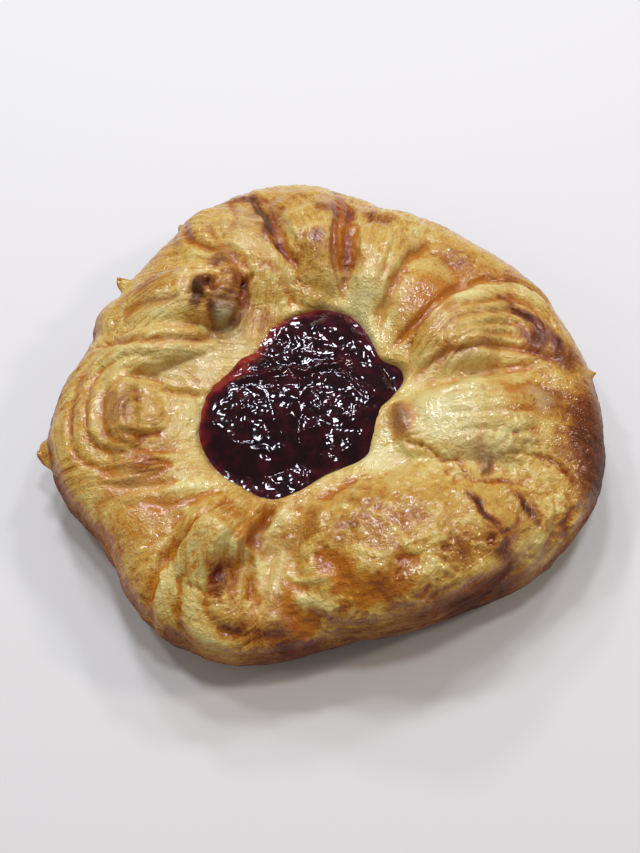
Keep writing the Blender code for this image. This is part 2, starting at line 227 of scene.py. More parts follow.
def roll_mesh(roll):
    """(points, faces) of a closed mesh of a roll, with an oval section that has full shoulders."""
    spine, half, top, shrink = with_caps(roll)
    if roll.closed:
        ahead = np.roll(spine, -1, axis=0) - np.roll(spine, 1, axis=0)
    else:
        ahead = np.gradient(spine, axis=0)
    side = np.stack([-ahead[:, 1], ahead[:, 0]], axis=1) / np.linalg.norm(ahead, axis=1)[:, None]
    around = 2 * math.pi * np.arange(RING_POINTS) / RING_POINTS
    across = signed_power(np.cos(around), 2 / SECTION_POWER)
    above = signed_power(np.sin(around), 2 / SECTION_POWER)
    plan = spine[:, None] + side[:, None] * (half[:, None] * across)[..., None]
    height = top[:, None] / 2 * (1 + shrink[:, None] * above)
    points = np.concatenate([plan, height[..., None]], axis=2).reshape(-1, 3)
    faces = []
    count = len(spine)
    for ring in range(count if roll.closed else count - 1):
        here = ring * RING_POINTS
        following = (ring + 1) % count * RING_POINTS
        for turn in range(RING_POINTS):
            beside = (turn + 1) % RING_POINTS
            faces.append((here + turn, here + beside, following + beside, following + turn))
    if not roll.closed:
        faces.append(tuple(reversed(range(RING_POINTS))))
        faces.append(tuple(range((count - 1) * RING_POINTS, count * RING_POINTS)))
    return points, faces


def slab_mesh(outline, top):
    """(points, faces) of an upright slab from the tray to a height, over a plan outline."""
    count = len(outline)
    floor = np.column_stack([outline, np.zeros(count)])
    points = np.concatenate([floor, floor + (0, 0, top)])
    faces = [(k, (k + 1) % count, count + (k + 1) % count, count + k) for k in range(count)]
    faces.append(tuple(reversed(range(count))))
    faces.append(tuple(range(count, 2 * count)))
    return points, faces


def flake_mesh(angle, reach, length, half, height):
    """(points, faces) of a pointed flake that stands out of the edge and tilts up at its tip."""
    share = np.linspace(0, 1, FLAKE_RINGS)
    wide = np.maximum(0.12, np.sqrt(1 - share ** 2))
    spine = from_well(np.full(FLAKE_RINGS, angle), reach + length * (share - 0.5))
    thickness = FLAKE_THICKNESS * (1 - FLAKE_TAPER * share)
    points, faces = roll_mesh(Roll(spine, half * wide, thickness, True))
    # A closed roll joins its last ring to its first. Flat ends stand here in place of those faces.
    faces = [face for face in faces if max(face) - min(face) < 3 * RING_POINTS]
    faces.append(tuple(reversed(range(RING_POINTS))))
    faces.append(tuple(range((FLAKE_RINGS - 1) * RING_POINTS, FLAKE_RINGS * RING_POINTS)))
    points[:, 2] += height + FLAKE_TILT * np.repeat(share, RING_POINTS)
    return points, faces


def new_object(name, points, faces):
    """A new mesh object from points in millimetres, with its faces turned outward."""
    mesh = bpy.data.meshes.new(name)
    mesh.from_pydata((np.asarray(points) * MM).tolist(), [], faces)
    shape = bmesh.new()
    shape.from_mesh(mesh)
    bmesh.ops.recalc_face_normals(shape, faces=shape.faces)
    shape.to_mesh(mesh)
    shape.free()
    made = bpy.data.objects.new(name, mesh)
    bpy.context.scene.collection.objects.link(made)
    return made


def apply_modifiers(made):
    """Puts an object's evaluated mesh in place of its mesh and modifiers."""
    graph = bpy.context.evaluated_depsgraph_get()
    mesh = bpy.data.meshes.new_from_object(made.evaluated_get(graph))
    made.modifiers.clear()
    made.data = mesh


def keep_outer_shell(made):
    """Deletes every closed shell of a mesh but the one with the most faces."""
    shape = bmesh.new()
    shape.from_mesh(made.data)
    left = set(shape.faces)
    shells = []
    while left:
        shell = []
        waiting = [left.pop()]
        while waiting:
            face = waiting.pop()
            shell.append(face)
            for edge in face.edges:
                for other in edge.link_faces:
                    if other in left:
                        left.discard(other)
                        waiting.append(other)
        shells.append(shell)
    shells.sort(key=len)
    for shell in shells[:-1]:
        bmesh.ops.delete(shape, geom=shell, context="FACES")
    shape.to_mesh(made.data)
    shape.free()


folds = [fold_roll(fold) for fold in FOLDS]
rim = ring_roll(EDGE_RADII, -RIM_HALF_WIDTH, RIM_HALF_WIDTH, RIM_TOP)
shoulder = ring_roll(JAM_RADII, SHOULDER_SETBACK, SHOULDER_HALF_WIDTH, SHOULDER_TOP)
rolls = [*folds, rim, shoulder]
angles = np.arange(0, 360, OUTLINE_TURN)
parts = [roll_mesh(roll) for roll in rolls]
parts.append(slab_mesh(from_well(angles, around_outline(EDGE_RADII, angles) - SHEET_INSET), SHEET_TOP))
parts.append(slab_mesh(from_well(angles, BED_RADIUS), BED_TOP))
parts.extend(flake_mesh(*flake) for flake in FLAKES)
points = []
faces = []
for part_points, part_faces in parts:
    first = len(points)
    points.extend(part_points)
    faces.extend(tuple(first + corner for corner in face) for face in part_faces)
dough = new_object("dough_crust", points, faces)
grown = dough.modifiers.new("grown_together", "REMESH")
grown.mode = "VOXEL"
grown.voxel_size = FINE_VOXEL * MM
apply_modifiers(dough)
keep_outer_shell(dough)
eased = dough.modifiers.new("eased", "SMOOTH")
eased.factor = EASING
eased.iterations = EASING_ROUNDS
apply_modifiers(dough)

# The dough's crust. Butter keeps the layers apart, so they bake into fine steps along each fold.
# Where the top sheet is whole it crinkles instead, and where folds meet it is pleated. The mesh has
# the relief down to about a millimetre, and the finish adds what is finer.

JAM_LEVEL = 18.5
WELL_DEPTH = 1.8
WELL_SLOPE = 2.2
WELL_LIP = 0.7
WELL_ROUNDING = 0.4
SOFTENING = 0.45
SOFTENING_ROUNDS = 60
LINE_STEPS = 6
BASE_SNAP = 0.5
CREST = 24.0
RELIEF_START = 2
RELIEF_REACH = 8
RAGGED_SIZE = 4
RAGGED_SHIFT = 0.25
WAVE_SIZE = 9
WAVE_RISE = 0.5
CREASE_SHARE = 0.6
FINE_PITCH = 0.42
FINE_RISE = 0.4
SHEET_PITCH = 1.9
SHEET_RISE = 0.5
PATCHY_SIZE = 11
WARP_SIZE = 5
WARP_SHIFT = 1.2
SWELL_SIZE = 4.5
WRINKLE_SIZE = 2.0
GRAIN_SIZE = 0.9
GRAIN_RISE = 0.05
FILM_RISE = 0.26
# Each net of wrinkles: the size of its meshes, the seed of its noise, and its weight.
FILM_NETS = ((3.4, 22, 1.0), (1.7, 23, 0.6))
# Each spiral's angle, reach, radius, pitch and depth.
SPIRALS = (
    (-171, 34, 13.0, 5.0, 0.2),
    (129, 30, 9.0, 4.5, 1.0),
)
# Each crease's angle and reach at either end, its half width and its depth.
CREASES = (
    (68, 24, 80, 50, 2.6, 2.4),
    (-99, 22, -101, 53, 2.6, 2.4),
    (93, 31, 104, 52, 2.2, 1.2),
    (4, 22, 9, 56, 2.2, 1.0),
    (-47, 24, -22, 50, 3.0, 1.0),
)


class Pleat(NamedTuple):
    """A narrow pleat or crease in the crust, along a line through plan points.

    A pleat has a rise above zero and a crease one below it. darkening browns it, or keeps it pale
    where it is below zero, and amber is how much glaze has pooled in it.
    """

    width: float
    rise: float
    darkening: float
    amber: float
    line: tuple


# The pleats and creases by place, in plan, where they show on the photograph.
PLEATS = {
    "v_groove": (
        Pleat(1.7, -0.9, 0.03, 0.6, ((4.2, 43.2), (4.1, 35.4), (3.8, 29.1), (3.8, 24.5))),
        Pleat(0.5, -0.5, 0.11, 0.4, ((2.4, 43.0), (2.4, 33.9), (2.4, 28.6), (3.2, 24.3), (4.1, 19.9))),
        Pleat(0.5, -0.45, 0.18, 0.4, ((6.7, 44.7), (6.0, 32.5), (5.1, 26.7), (4.5, 19.9))),
    ),
    "deep_crease": (
        Pleat(1.0, -2.0, 0.28, 0.3, ((-8.6, -25.8), (-10.3, -29.0), (-12.1, -33.7), (-13.1, -37.5))),
        Pleat(1.0, -1.0, 0.08, 0.2, ((-13.1, -37.5), (-13.6, -41.6), (-13.8, -46.5))),
    ),
    "snail_side": (
        Pleat(0.55, -1.4, 0.1, 0.3, (
            (-14.6, 24.2), (-16.2, 21.7), (-16.3, 18.2), (-17.3, 14.9), (-19.0, 12.8), (-21.3, 11.6),
        )),
        Pleat(0.9, -0.9, 0.06, 0.6, (
            (-21.3, 11.6), (-24.4, 9.1), (-28.8, 8.0), (-34.9, 7.7), (-41.4, 8.7), (-47.3, 9.8),
        )),
        Pleat(1.5, 0.3, 0.3, 0.0, (
            (-16.6, 25.0), (-17.4, 21.0), (-18.3, 17.3), (-19.9, 14.6), (-22.2, 12.9),
        )),
    ),
    "swirl": (
        Pleat(1.6, 0.8, 0.3, 0, ((-22.9, 29.4), (-20.1, 25.3))),
        Pleat(1.3, 0.9, 0.4, 0, ((-26.5, 19.3), (-23.5, 18.8))),
        Pleat(1.0, 0.7, 0.35, 0, ((-27.0, 16.5), (-24.9, 15.6))),
        Pleat(1.3, 0.8, 0.3, 0, ((-23.7, 15.1), (-21.3, 14.2), (-20.1, 12.9))),
        Pleat(1.2, 0.3, 0.2, 0, ((-19.7, 13.2), (-20.7, 12.2), (-22.7, 11.3))),
        Pleat(0.5, -0.7, 0.15, 0, ((-24.1, 21.9), (-22.5, 18.5), (-22.0, 16.2))),
        Pleat(0.5, -0.7, 0.15, 0, ((-27.9, 17.9), (-26.0, 17.4), (-23.7, 16.4))),
    ),
    "blister": (
        Pleat(1.3, 0.7, 0.3, 0.6, ((15.1, -5.0), (16.0, -9.9), (17.5, -13.8))),
        Pleat(0.5, -0.5, 0.1, 0.2, ((16.3, -14.6), (17.8, -15.5), (19.9, -15.9))),
    ),
    "small_flake": (
        Pleat(0.6, 0.8, 0.25, 0.2, ((31.4, -21.6), (31.8, -19.1), (30.9, -17.4))),
    ),
    "snail_top": (
        Pleat(0.8, -0.8, 0.06, 0.5, (
            (-30.7, 40.6), (-28.9, 35.2), (-25.4, 31.9), (-21.2, 30.2), (-17.6, 27.0), (-14.6, 24.2),
        )),
    ),
    "snail_band": (
        Pleat(0.9, -0.6, 0.03, 0.8, ((-42.2, 15.7), (-37.8, 16.7), (-33.4, 16.6), (-29.1, 16.4))),
    ),
    "upper_left": (
        Pleat(0.7, -0.9, 0.08, 0.3, (
            (-17.4, 52.0), (-13.9, 44.4), (-11.7, 38.7), (-10.2, 32.9), (-8.0, 29.2), (-5.0, 25.6),
        )),
        Pleat(1.3, 0.5, 0.12, 0.0, (
            (-16.7, 47.9), (-14.7, 44.2), (-12.9, 38.5), (-11.7, 33.4), (-10.3, 30.1),
        )),
        Pleat(0.5, -0.4, 0.0, 0.4, (
            (-13.3, 48.6), (-11.3, 42.6), (-9.9, 37.5), (-8.0, 31.2), (-6.3, 28.0),
        )),
        Pleat(0.8, -0.4, 0.0, 0.5, ((-20.2, 47.4), (-19.0, 40.0), (-19.8, 33.6))),
        Pleat(0.6, -0.35, 0.0, 0.4, ((-24.9, 38.6), (-23.3, 34.1), (-19.9, 30.1))),
        Pleat(0.6, -0.35, 0.0, 0.4, ((-22.8, 39.7), (-21.1, 33.3), (-17.2, 28.2), (-13.4, 25.8))),
        Pleat(1.0, -0.4, 0.0, 0.7, ((-9.8, 25.2), (-8.2, 22.5), (-6.7, 20.0), (-6.0, 17.5))),
        Pleat(1.0, -0.2, 0.0, 0.7, ((-13.8, 26.2), (-11.3, 26.3), (-8.6, 25.4))),
    ),
    "shelf": (
        Pleat(0.6, -0.9, 0.06, 0.0, ((-32.7, -1.1), (-30.2, -2.4), (-27.0, -2.8), (-23.8, -3.5))),
    ),
    "rosette": (
        Pleat(0.8, -0.6, 0.0, 0.5, (
            (-31.2, -0.9), (-35.0, 1.2), (-39.1, 0.6), (-42.4, -2.0), (-44.1, -5.2), (-43.9, -9.8),
            (-42.3, -13.2), (-38.3, -15.8), (-33.6, -16.3), (-27.9, -15.0),
        )),
        Pleat(0.7, -0.45, 0.0, 0.3, (
            (-34.8, 4.3), (-41.0, 4.2), (-45.7, 2.4), (-47.4, -3.6), (-47.2, -9.5), (-45.4, -14.4),
            (-42.0, -16.1), (-35.2, -18.4), (-28.7, -19.0),
        )),
        Pleat(0.7, -0.4, 0.0, 0.3, (
            (-45.8, 7.8), (-49.2, 2.3), (-50.6, -3.7), (-50.7, -10.5), (-48.5, -16.2), (-44.4, -19.3),
            (-37.1, -21.5), (-31.5, -20.9), (-29.0, -19.2),
        )),
        Pleat(0.8, -0.5, 0.06, 0.4, (
            (-32.3, -6.3), (-34.4, -4.2), (-37.3, -3.6), (-39.8, -6.1), (-41.0, -8.9), (-40.2, -12.4),
            (-37.4, -13.8), (-33.9, -12.7), (-30.5, -10.8),
        )),
        Pleat(0.6, -0.5, 0.08, 0.3, (
            (-35.3, -5.0), (-37.5, -6.5), (-38.7, -9.2), (-37.8, -11.6), (-35.8, -11.6),
        )),
    ),
    "left_bands": (
        Pleat(0.9, -0.4, 0.0, 0.6, ((-43.5, -18.7), (-38.2, -20.3), (-33.2, -20.3), (-28.7, -18.4))),
        Pleat(0.9, -0.4, 0.0, 0.5, ((-44.3, -21.7), (-39.2, -23.4), (-33.3, -23.7), (-27.5, -22.3))),
        Pleat(0.8, 0.3, -0.15, 0.0, ((-39.0, -26.3), (-33.2, -24.6), (-27.3, -23.9), (-21.7, -22.4))),
        Pleat(0.9, -0.4, 0.0, 0.5, ((-35.0, -26.7), (-30.1, -27.7), (-25.3, -26.2), (-18.7, -24.0))),
    ),
    "fan": (
        Pleat(1.0, -1.2, 0.08, 0.5, (
            (-16.0, -26.4), (-21.6, -29.7), (-25.2, -33.2), (-28.2, -36.5), (-30.4, -40.1),
            (-32.0, -43.9), (-32.4, -47.0), (-31.7, -49.5),
        )),
        Pleat(0.8, -0.5, 0.0, 0.15, (
            (-15.0, -28.2), (-19.3, -33.0), (-22.6, -37.3), (-25.3, -40.9), (-26.7, -45.3),
            (-27.3, -49.1), (-25.7, -51.9), (-21.8, -53.9),
        )),
        Pleat(0.9, -0.55, 0.0, 0.15, (
            (-13.7, -29.4), (-16.6, -35.2), (-18.9, -39.5), (-21.1, -44.5), (-21.4, -48.5),
            (-19.5, -51.2), (-15.1, -52.7),
        )),
        Pleat(0.8, -0.5, 0.0, 0.4, (
            (-12.5, -31.1), (-14.6, -37.0), (-16.1, -40.6), (-16.6, -45.5), (-15.8, -49.7),
        )),
        Pleat(4.2, 1.4, 0.0, 0.1, ((-18.0, -33.0), (-21.0, -38.5), (-23.5, -44.0))),
        Pleat(0.8, 0.3, -0.15, 0.0, ((-16.4, -29.3), (-20.7, -34.0), (-23.5, -38.1), (-25.9, -41.6))),
        Pleat(1.2, 0.5, -0.2, 0.0, (
            (-23.4, -44.5), (-24.4, -48.4), (-23.1, -51.8), (-18.9, -53.7), (-14.3, -54.6), (-7.7, -53.6),
        )),
        Pleat(1.5, 0.5, -0.2, 0.0, ((-29.3, -38.6), (-30.6, -43.2), (-31.0, -47.3), (-29.7, -50.4))),
        Pleat(1.2, -0.4, 0.11, 0.4, ((-19.7, -51.5), (-15.1, -53.1), (-11.0, -53.4), (-5.9, -52.0))),
    ),
    "big_lobe": (
        Pleat(1.8, -0.5, 0.0, 1.0, (
            (-1.8, -37.5), (1.2, -40.1), (3.9, -43.5), (5.7, -45.7), (9.2, -45.9), (11.7, -47.2),
            (11.4, -48.5),
        )),
        Pleat(1.4, -0.4, 0.0, 0.9, (
            (-8.7, -41.6), (-7.2, -44.6), (-6.6, -47.8), (-4.0, -50.4), (0.0, -51.4),
        )),
        Pleat(1.2, -0.3, 0.0, 0.6, ((13.4, -41.0), (15.8, -40.3), (18.3, -41.0))),
        Pleat(1.0, -0.3, 0.0, 0.6, ((-0.7, -26.9), (2.6, -24.8), (5.9, -22.2), (10.4, -20.1))),
        Pleat(0.5, 0.35, -0.2, 0.0, ((7.5, -30.3), (11.2, -32.5), (14.0, -35.8), (16.7, -39.6))),
        Pleat(0.5, 0.35, -0.2, 0.0, ((19.8, -40.6), (22.4, -42.2), (24.1, -42.8))),
        Pleat(0.8, 0.3, -0.15, 0.0, ((-0.7, -33.4), (0.8, -30.2), (4.4, -29.7), (5.7, -32.6))),
        Pleat(0.6, 0.3, -0.2, 0.0, ((-6.9, -41.6), (-4.0, -43.1), (-0.3, -43.3), (2.4, -42.3))),
        Pleat(0.9, 0.35, -0.2, 0.0, ((-5.9, -45.9), (-2.2, -46.7), (0.6, -48.0), (4.3, -47.2))),
        Pleat(0.5, 0.3, -0.1, 0.0, (
            (19.1, -33.4), (20.3, -35.3), (21.9, -37.5), (23.3, -35.1), (26.1, -33.3), (28.6, -32.5),
        )),
        Pleat(0.5, 0.3, -0.15, 0.0, ((5.2, -37.6), (7.9, -39.3), (11.6, -40.1), (14.3, -38.9))),
        Pleat(1.6, 0.5, -0.2, 0.0, ((-7.1, -27.5), (-9.8, -32.1), (-11.7, -36.5), (-12.6, -42.0))),
    ),
    "torn_edge": (
        Pleat(0.42, -0.3, 0.17, 0.3, (
            (16.9, -15.2), (20.1, -16.0), (22.4, -17.7), (23.2, -19.2), (26.3, -19.0), (28.1, -22.9),
            (30.8, -23.4), (35.4, -22.8), (40.3, -23.6),
        )),
        Pleat(0.49, -0.42, 0.17, 0.0, (
            (34.1, -17.7), (38.7, -16.9), (44.4, -17.5), (47.6, -19.9), (49.7, -22.3),
        )),
        Pleat(0.4, -0.25, 0.14, 0.0, ((26.7, -25.6), (29.5, -28.7), (31.4, -31.9), (33.2, -34.7))),
        Pleat(0.4, -0.22, 0.14, 0.0, ((33.2, -34.7), (36.2, -32.7), (38.3, -29.1), (39.1, -26.2))),
        Pleat(0.45, -0.25, 0.15, 0.2, ((39.0, -24.6), (40.9, -27.3), (41.9, -30.0), (40.6, -32.7))),
    ),
    "right_edge": (
        Pleat(0.7, -0.4, 0.0, 0.3, ((44.7, -23.0), (45.2, -28.8), (44.1, -34.1), (41.2, -38.1))),
        Pleat(0.7, -0.4, 0.06, 0.5, ((47.7, -23.8), (47.7, -28.4), (46.4, -32.7))),
        Pleat(0.9, -0.5, 0.17, 0.0, (
            (37.8, -37.6), (34.9, -40.9), (30.2, -43.5), (28.1, -45.3), (23.2, -48.2),
        )),
    ),
    "right": (
        Pleat(0.9, -0.9, 0.08, 0.6, (
            (18.4, 0.8), (22.0, 3.2), (26.0, 5.1), (31.1, 6.3), (37.9, 8.5), (43.9, 7.1), (49.0, 5.4),
        )),
        Pleat(0.6, -0.4, 0.0, 0.4, ((23.4, -5.5), (26.4, -4.6), (30.3, -4.6), (35.2, -5.1))),
        Pleat(0.6, -0.3, 0.0, 0.3, ((24.1, -9.8), (29.9, -9.7), (36.9, -9.0), (44.5, -6.8))),
        Pleat(0.6, -0.3, 0.0, 0.3, ((24.9, -14.0), (30.7, -13.4), (36.7, -13.7), (43.2, -11.3))),
        Pleat(0.7, -0.3, 0.0, 0.4, ((32.2, 2.0), (37.7, 4.2), (43.7, 4.0))),
        Pleat(1.0, -0.3, 0.0, 0.6, ((35.3, -4.6), (40.8, -2.4), (46.1, -2.2))),
    ),
    "panel": (
        Pleat(0.8, -0.6, 0.0, 0.6, (
            (24.0, 35.8), (18.3, 28.4), (15.2, 22.7), (13.2, 18.5), (11.7, 14.3), (11.3, 10.6),
        )),
        Pleat(0.7, -0.7, 0.06, 0.4, (
            (29.9, 24.7), (24.7, 18.5), (20.3, 13.8), (16.2, 10.0), (13.7, 7.1),
        )),
    ),
    "fanned_roll": (
        Pleat(0.8, -0.6, 0.0, 0.4, (
            (19.3, 11.9), (24.1, 16.3), (28.8, 21.8), (34.8, 25.1), (41.4, 25.6), (46.7, 23.3),
            (50.4, 19.2), (52.2, 12.8),
        )),
        Pleat(1.3, 0.6, -0.25, 0.0, (
            (21.2, 11.6), (26.1, 16.6), (31.0, 20.0), (37.9, 23.1), (43.6, 22.0), (48.0, 19.1),
        )),
        Pleat(0.7, -0.5, 0.0, 0.5, (
            (22.1, 10.3), (27.4, 15.4), (32.9, 17.6), (39.3, 20.2), (43.9, 18.7), (47.5, 15.0),
        )),
        Pleat(0.7, -0.45, 0.08, 0.3, (
            (24.0, 9.4), (28.7, 13.2), (34.9, 15.6), (40.6, 16.7), (44.1, 13.8), (45.4, 9.6),
        )),
        Pleat(0.6, -0.4, 0.0, 0.3, ((25.0, 7.5), (29.8, 10.2), (35.8, 13.0), (40.7, 13.7), (42.8, 10.5))),
        Pleat(0.7, -0.4, 0.0, 0.4, (
            (19.0, 5.2), (23.0, 6.2), (28.0, 7.6), (33.4, 9.6), (39.1, 11.3), (44.1, 8.8),
        )),
        Pleat(1.0, 0.4, 0.17, 0.0, ((41.8, 18.8), (45.7, 15.2), (48.5, 10.4), (49.7, 7.5))),
    ),
    "upper_right": (
        Pleat(0.7, -0.4, 0.0, 0.5, ((6.5, 34.7), (8.7, 37.7), (11.8, 40.2))),
        Pleat(0.6, -0.3, 0.0, 0.3, ((15.4, 28.7), (13.2, 23.8), (11.3, 19.1), (10.3, 14.9))),
        Pleat(0.5, -0.25, 0.0, 0.25, ((8.5, 29.2), (7.6, 23.7), (6.4, 19.5))),
        Pleat(0.5, -0.25, 0.0, 0.25, ((19.2, 39.5), (15.6, 32.3), (13.5, 26.0), (10.9, 21.2))),
    ),
    "upper": (
        Pleat(0.6, -0.3, 0.0, 0.3, ((-4.7, 38.5), (-4.0, 31.8), (-5.2, 26.6), (-4.6, 21.3))),
        Pleat(0.5, -0.25, 0.0, 0.25, ((-0.8, 41.6), (-1.2, 31.7), (0.0, 26.1), (-0.4, 20.3))),
        Pleat(1.2, 0.4, -0.2, 0.0, ((-8.4, 39.8), (-5.1, 39.5), (-2.1, 41.8))),
    ),
}


def lattice_noise(places, seed):
    """Smooth gradient noise from about -1 to 1, one value for each row, with cells of size 1."""
    cell = np.floor(places).astype(np.int64)
    share = places - cell
    ease = share ** 3 * (share * (share * 6 - 15) + 10)
    total = np.zeros(len(places))
    for corner in itertools.product((0, 1), repeat=3):
        here = cell + corner
        mix = here[:, 0] * 374761393 + here[:, 1] * 668265263 + here[:, 2] * 1103515245 + seed * 69069
        mix &= 0xFFFFFFFF
        mix = ((mix ^ (mix >> 13)) * 1274126177) & 0xFFFFFFFF
        mix ^= mix >> 16
        slope = np.stack([(mix >> shift & 1023) / 511.5 - 1 for shift in (0, 10, 20)], axis=1)
        weight = np.prod(np.where(corner, ease, 1 - ease), axis=1)
        total += weight * ((share - corner) * slope).sum(axis=1)
    return 1.5 * total


def smooth_step(low, high, values):
    """0 below low and 1 above high, with an eased rise between them."""
    share = np.clip((values - low) / (high - low), 0, 1)
    return share * share * (3 - 2 * share)


def on_folds(plan):
    """For plan points: the fold whose sheet they are on, mm along and across it, and its lead."""
    rows = np.arange(len(plan))
    spans = np.zeros((len(FOLDS), len(plan)))
    places = np.zeros((len(FOLDS), 2, len(plan)))
    for number, (fold, roll) in enumerate(zip(FOLDS, folds)):
        inner = 2 * roll.spine[0] - roll.spine[6]
        outer = 4 * roll.spine[-1] - 3 * roll.spine[-4]
        spine = np.vstack([inner, roll.spine, outer])
        half = np.concatenate([roll.half[:1], roll.half, roll.half[-1:]])
        if fold.wraps:
            spine, half = spine[:-1], half[:-1]
        run = spine[1:] - spine[:-1]
        length = np.linalg.norm(run, axis=1)
        offset = plan[:, None, :] - spine[None, :-1, :]
        reach = (offset * run).sum(axis=2) / length
        inside = np.clip(reach, 0, length)
        side = (run[:, 0] * offset[:, :, 1] - run[:, 1] * offset[:, :, 0]) / length
        beyond = reach - inside
        near = np.argmin(side ** 2 + beyond ** 2, axis=1)
        share = inside[rows, near] / length[near]
        side = side[rows, near]
        beyond = beyond[rows, near]
        half = half[near] * (1 - share) + half[near + 1] * share
        spans[number] = np.hypot(side, beyond) / half
        along = np.concatenate([[0], np.cumsum(length)])[near] + inside[rows, near]
        if fold.wraps:
            away = np.hypot(side, beyond)
            along = along + away * np.arctan2(beyond, np.abs(side))
            side = away
        places[number] = along, side
    owner = np.argmin(spans, axis=0)
    ranked = np.sort(spans, axis=0)
    along, across = places[owner, :, rows].T
    return owner, along, across, ranked[1] - ranked[0]


def crease_depth(angle, reach):
    """How deep the creases between folds are at places round the well."""
    depth = np.zeros(len(angle))
    for angle_in, reach_in, angle_out, reach_out, half, deepest in CREASES:
        share = (reach - reach_in) / (reach_out - reach_in)
        turn = (angle - angle_in - (angle_out - angle_in) * share + 180) % 360 - 180
        off = np.radians(turn) * reach / half
        ends = np.clip(np.minimum(4 * share, 4 * (1 - share)), 0, 1)
        depth = np.maximum(depth, deepest * np.clip(1 - off * off, 0, 1) * ends)
    return depth


def spiral_rise(plan):
    """The rise of the spirals: a ridge that winds out from each middle and fades."""
    rise = np.zeros(len(plan))
    for angle, reach, radius, pitch, depth in SPIRALS:
        offset = plan - from_well(angle, reach)
        away = np.hypot(offset[:, 0], offset[:, 1])
        turn = np.arctan2(offset[:, 1], offset[:, 0]) / (2 * math.pi)
        rise += depth * np.cos(2 * math.pi * (away / pitch - turn)) * np.clip(1 - away / radius, 0, 1)
    return rise


def smooth_line(knots):
    """A smooth line through plan points, as many short steps."""
    knots = np.array(knots)
    knots = np.concatenate([[2 * knots[0] - knots[1]], knots, [2 * knots[-1] - knots[-2]]])
    share = (np.arange(LINE_STEPS) / LINE_STEPS)[:, None]
    pieces = []
    for before, here, after, beyond in zip(knots, knots[1:], knots[2:], knots[3:]):
        bend = 2 * before - 5 * here + 4 * after - beyond
        twist = 3 * here - before - 3 * after + beyond
        pieces.append(here + 0.5 * ((after - before) * share + bend * share ** 2 + twist * share ** 3))
    return np.concatenate([*pieces, knots[-2:-1]])


def pleats_at(plan, places):
    """(rise, darkening, amber) that the pleats and creases of all places give at plan points."""
    rise, darkening, amber = np.zeros((3, len(plan)))
    for pleat in itertools.chain(*places.values()):
        line = smooth_line(pleat.line)
        margin = 4 * pleat.width
        inside = (plan > line.min(axis=0) - margin) & (plan < line.max(axis=0) + margin)
        near = np.flatnonzero(inside.all(axis=1))
        rows = np.arange(len(near))
        run = np.diff(line, axis=0)
        length = np.linalg.norm(run, axis=1)
        offset = plan[near, None] - line[None, :-1]
        share = np.clip((offset * run).sum(axis=2) / length ** 2, 0, 1)
        away = np.linalg.norm(offset - share[..., None] * run, axis=2)
        best = away.argmin(axis=1)
        away = away[rows, best] / pleat.width
        gone = (np.cumsum(length) - length)[best] + share[rows, best] * length[best]
        fade = np.sqrt(np.clip(5 * np.minimum(gone, length.sum() - gone) / length.sum(), 0, 1))
        core = np.exp(-away ** 2) * fade
        lip = np.exp(-(away - 2.2) ** 2) * fade
        rise[near] += pleat.rise * (core - 0.25 * lip)
        darkening[near] += pleat.darkening * np.exp(-(away / 1.5) ** 2) * fade
        amber[near] += pleat.amber * np.exp(-(away / 1.6) ** 2) * fade
    return rise, darkening, amber


def neighbour_means(mesh, values, rounds):
    """Values of a mesh's points, each round replaced by the mean of their neighbours' values."""
    edges = np.empty(2 * len(mesh.edges), dtype=int)
    mesh.edges.foreach_get("vertices", edges)
    ends = np.concatenate([edges[0::2], edges[1::2]])
    others = np.concatenate([edges[1::2], edges[0::2]])
    count = np.bincount(ends, minlength=len(values))
    for _ in range(rounds):
        total = [np.bincount(ends, column[others], minlength=len(values)) for column in values.T]
        values = np.stack(total, axis=1) / count[:, None]
    return values


def read_points(mesh):
    """(points, normals) of a mesh, with the points in millimetres."""
    points = np.empty(3 * len(mesh.vertices))
    mesh.vertices.foreach_get("co", points)
    normals = np.empty(3 * len(mesh.vertices))
    mesh.vertices.foreach_get("normal", normals)
    return points.reshape(-1, 3) / MM, normals.reshape(-1, 3)


def move_points(mesh, points):
    """Moves the points of a mesh to places in millimetres, and flattens its base on the tray."""
    points[:, 2] = np.where(points[:, 2] < BASE_SNAP, 0, points[:, 2])
    mesh.vertices.foreach_set("co", (points * MM).ravel())
    mesh.update()
    return read_points(mesh)


points, normals = read_points(dough.data)
reach = np.hypot(points[:, 0] - WELL_X, points[:, 1] - WELL_Y)
angle = np.degrees(np.arctan2(points[:, 1] - WELL_Y, points[:, 0] - WELL_X))
edge_reach = around_outline(EDGE_RADII, angle)
outside = smooth_step(0.72, 0.9, reach / edge_reach)
past_jam = reach - around_outline(JAM_RADII, angle)

# The folds are soft dough, so their shapes run into each other rather than meet at sharp valleys.
softer = neighbour_means(dough.data, points, SOFTENING_ROUNDS)
softened = SOFTENING * (1 - 0.9 * smooth_step(0.9, 0.5, normals[:, 2])) * smooth_step(2, 8, points[:, 2])
points += (softer - points) * softened[:, None]
points, normals = move_points(dough.data, points)
ragged = np.stack([lattice_noise(points / RAGGED_SIZE, seed) for seed in (31, 32)], 1)
pleat_rise, pleat_toast, pleat_amber = pleats_at(points[:, :2] + RAGGED_SHIFT * ragged, PLEATS)
waves = lattice_noise(points / WAVE_SIZE, 30)
above = np.clip((points[:, 2] - RELIEF_START) / RELIEF_REACH, 0, 1)
sunken = CREASE_SHARE * crease_depth(angle, reach)
rise = WAVE_RISE * waves + spiral_rise(points[:, :2]) - sunken + pleat_rise
points += normals * (rise * above)[:, None]
points, normals = move_points(dough.data, points)

# Along the walls the layers lie flat, one over the other, so they are told apart by height.
wall = smooth_step(0.55, 0.15, normals[:, 2]) * outside
owner, along, across, lead = on_folds(points[:, :2])
style = np.array([(fold.steps, fold.pitch, fold.crinkle) for fold in FOLDS])
steps, pitch, crinkle = style[owner].T
fold_shift = 37.0 * owner


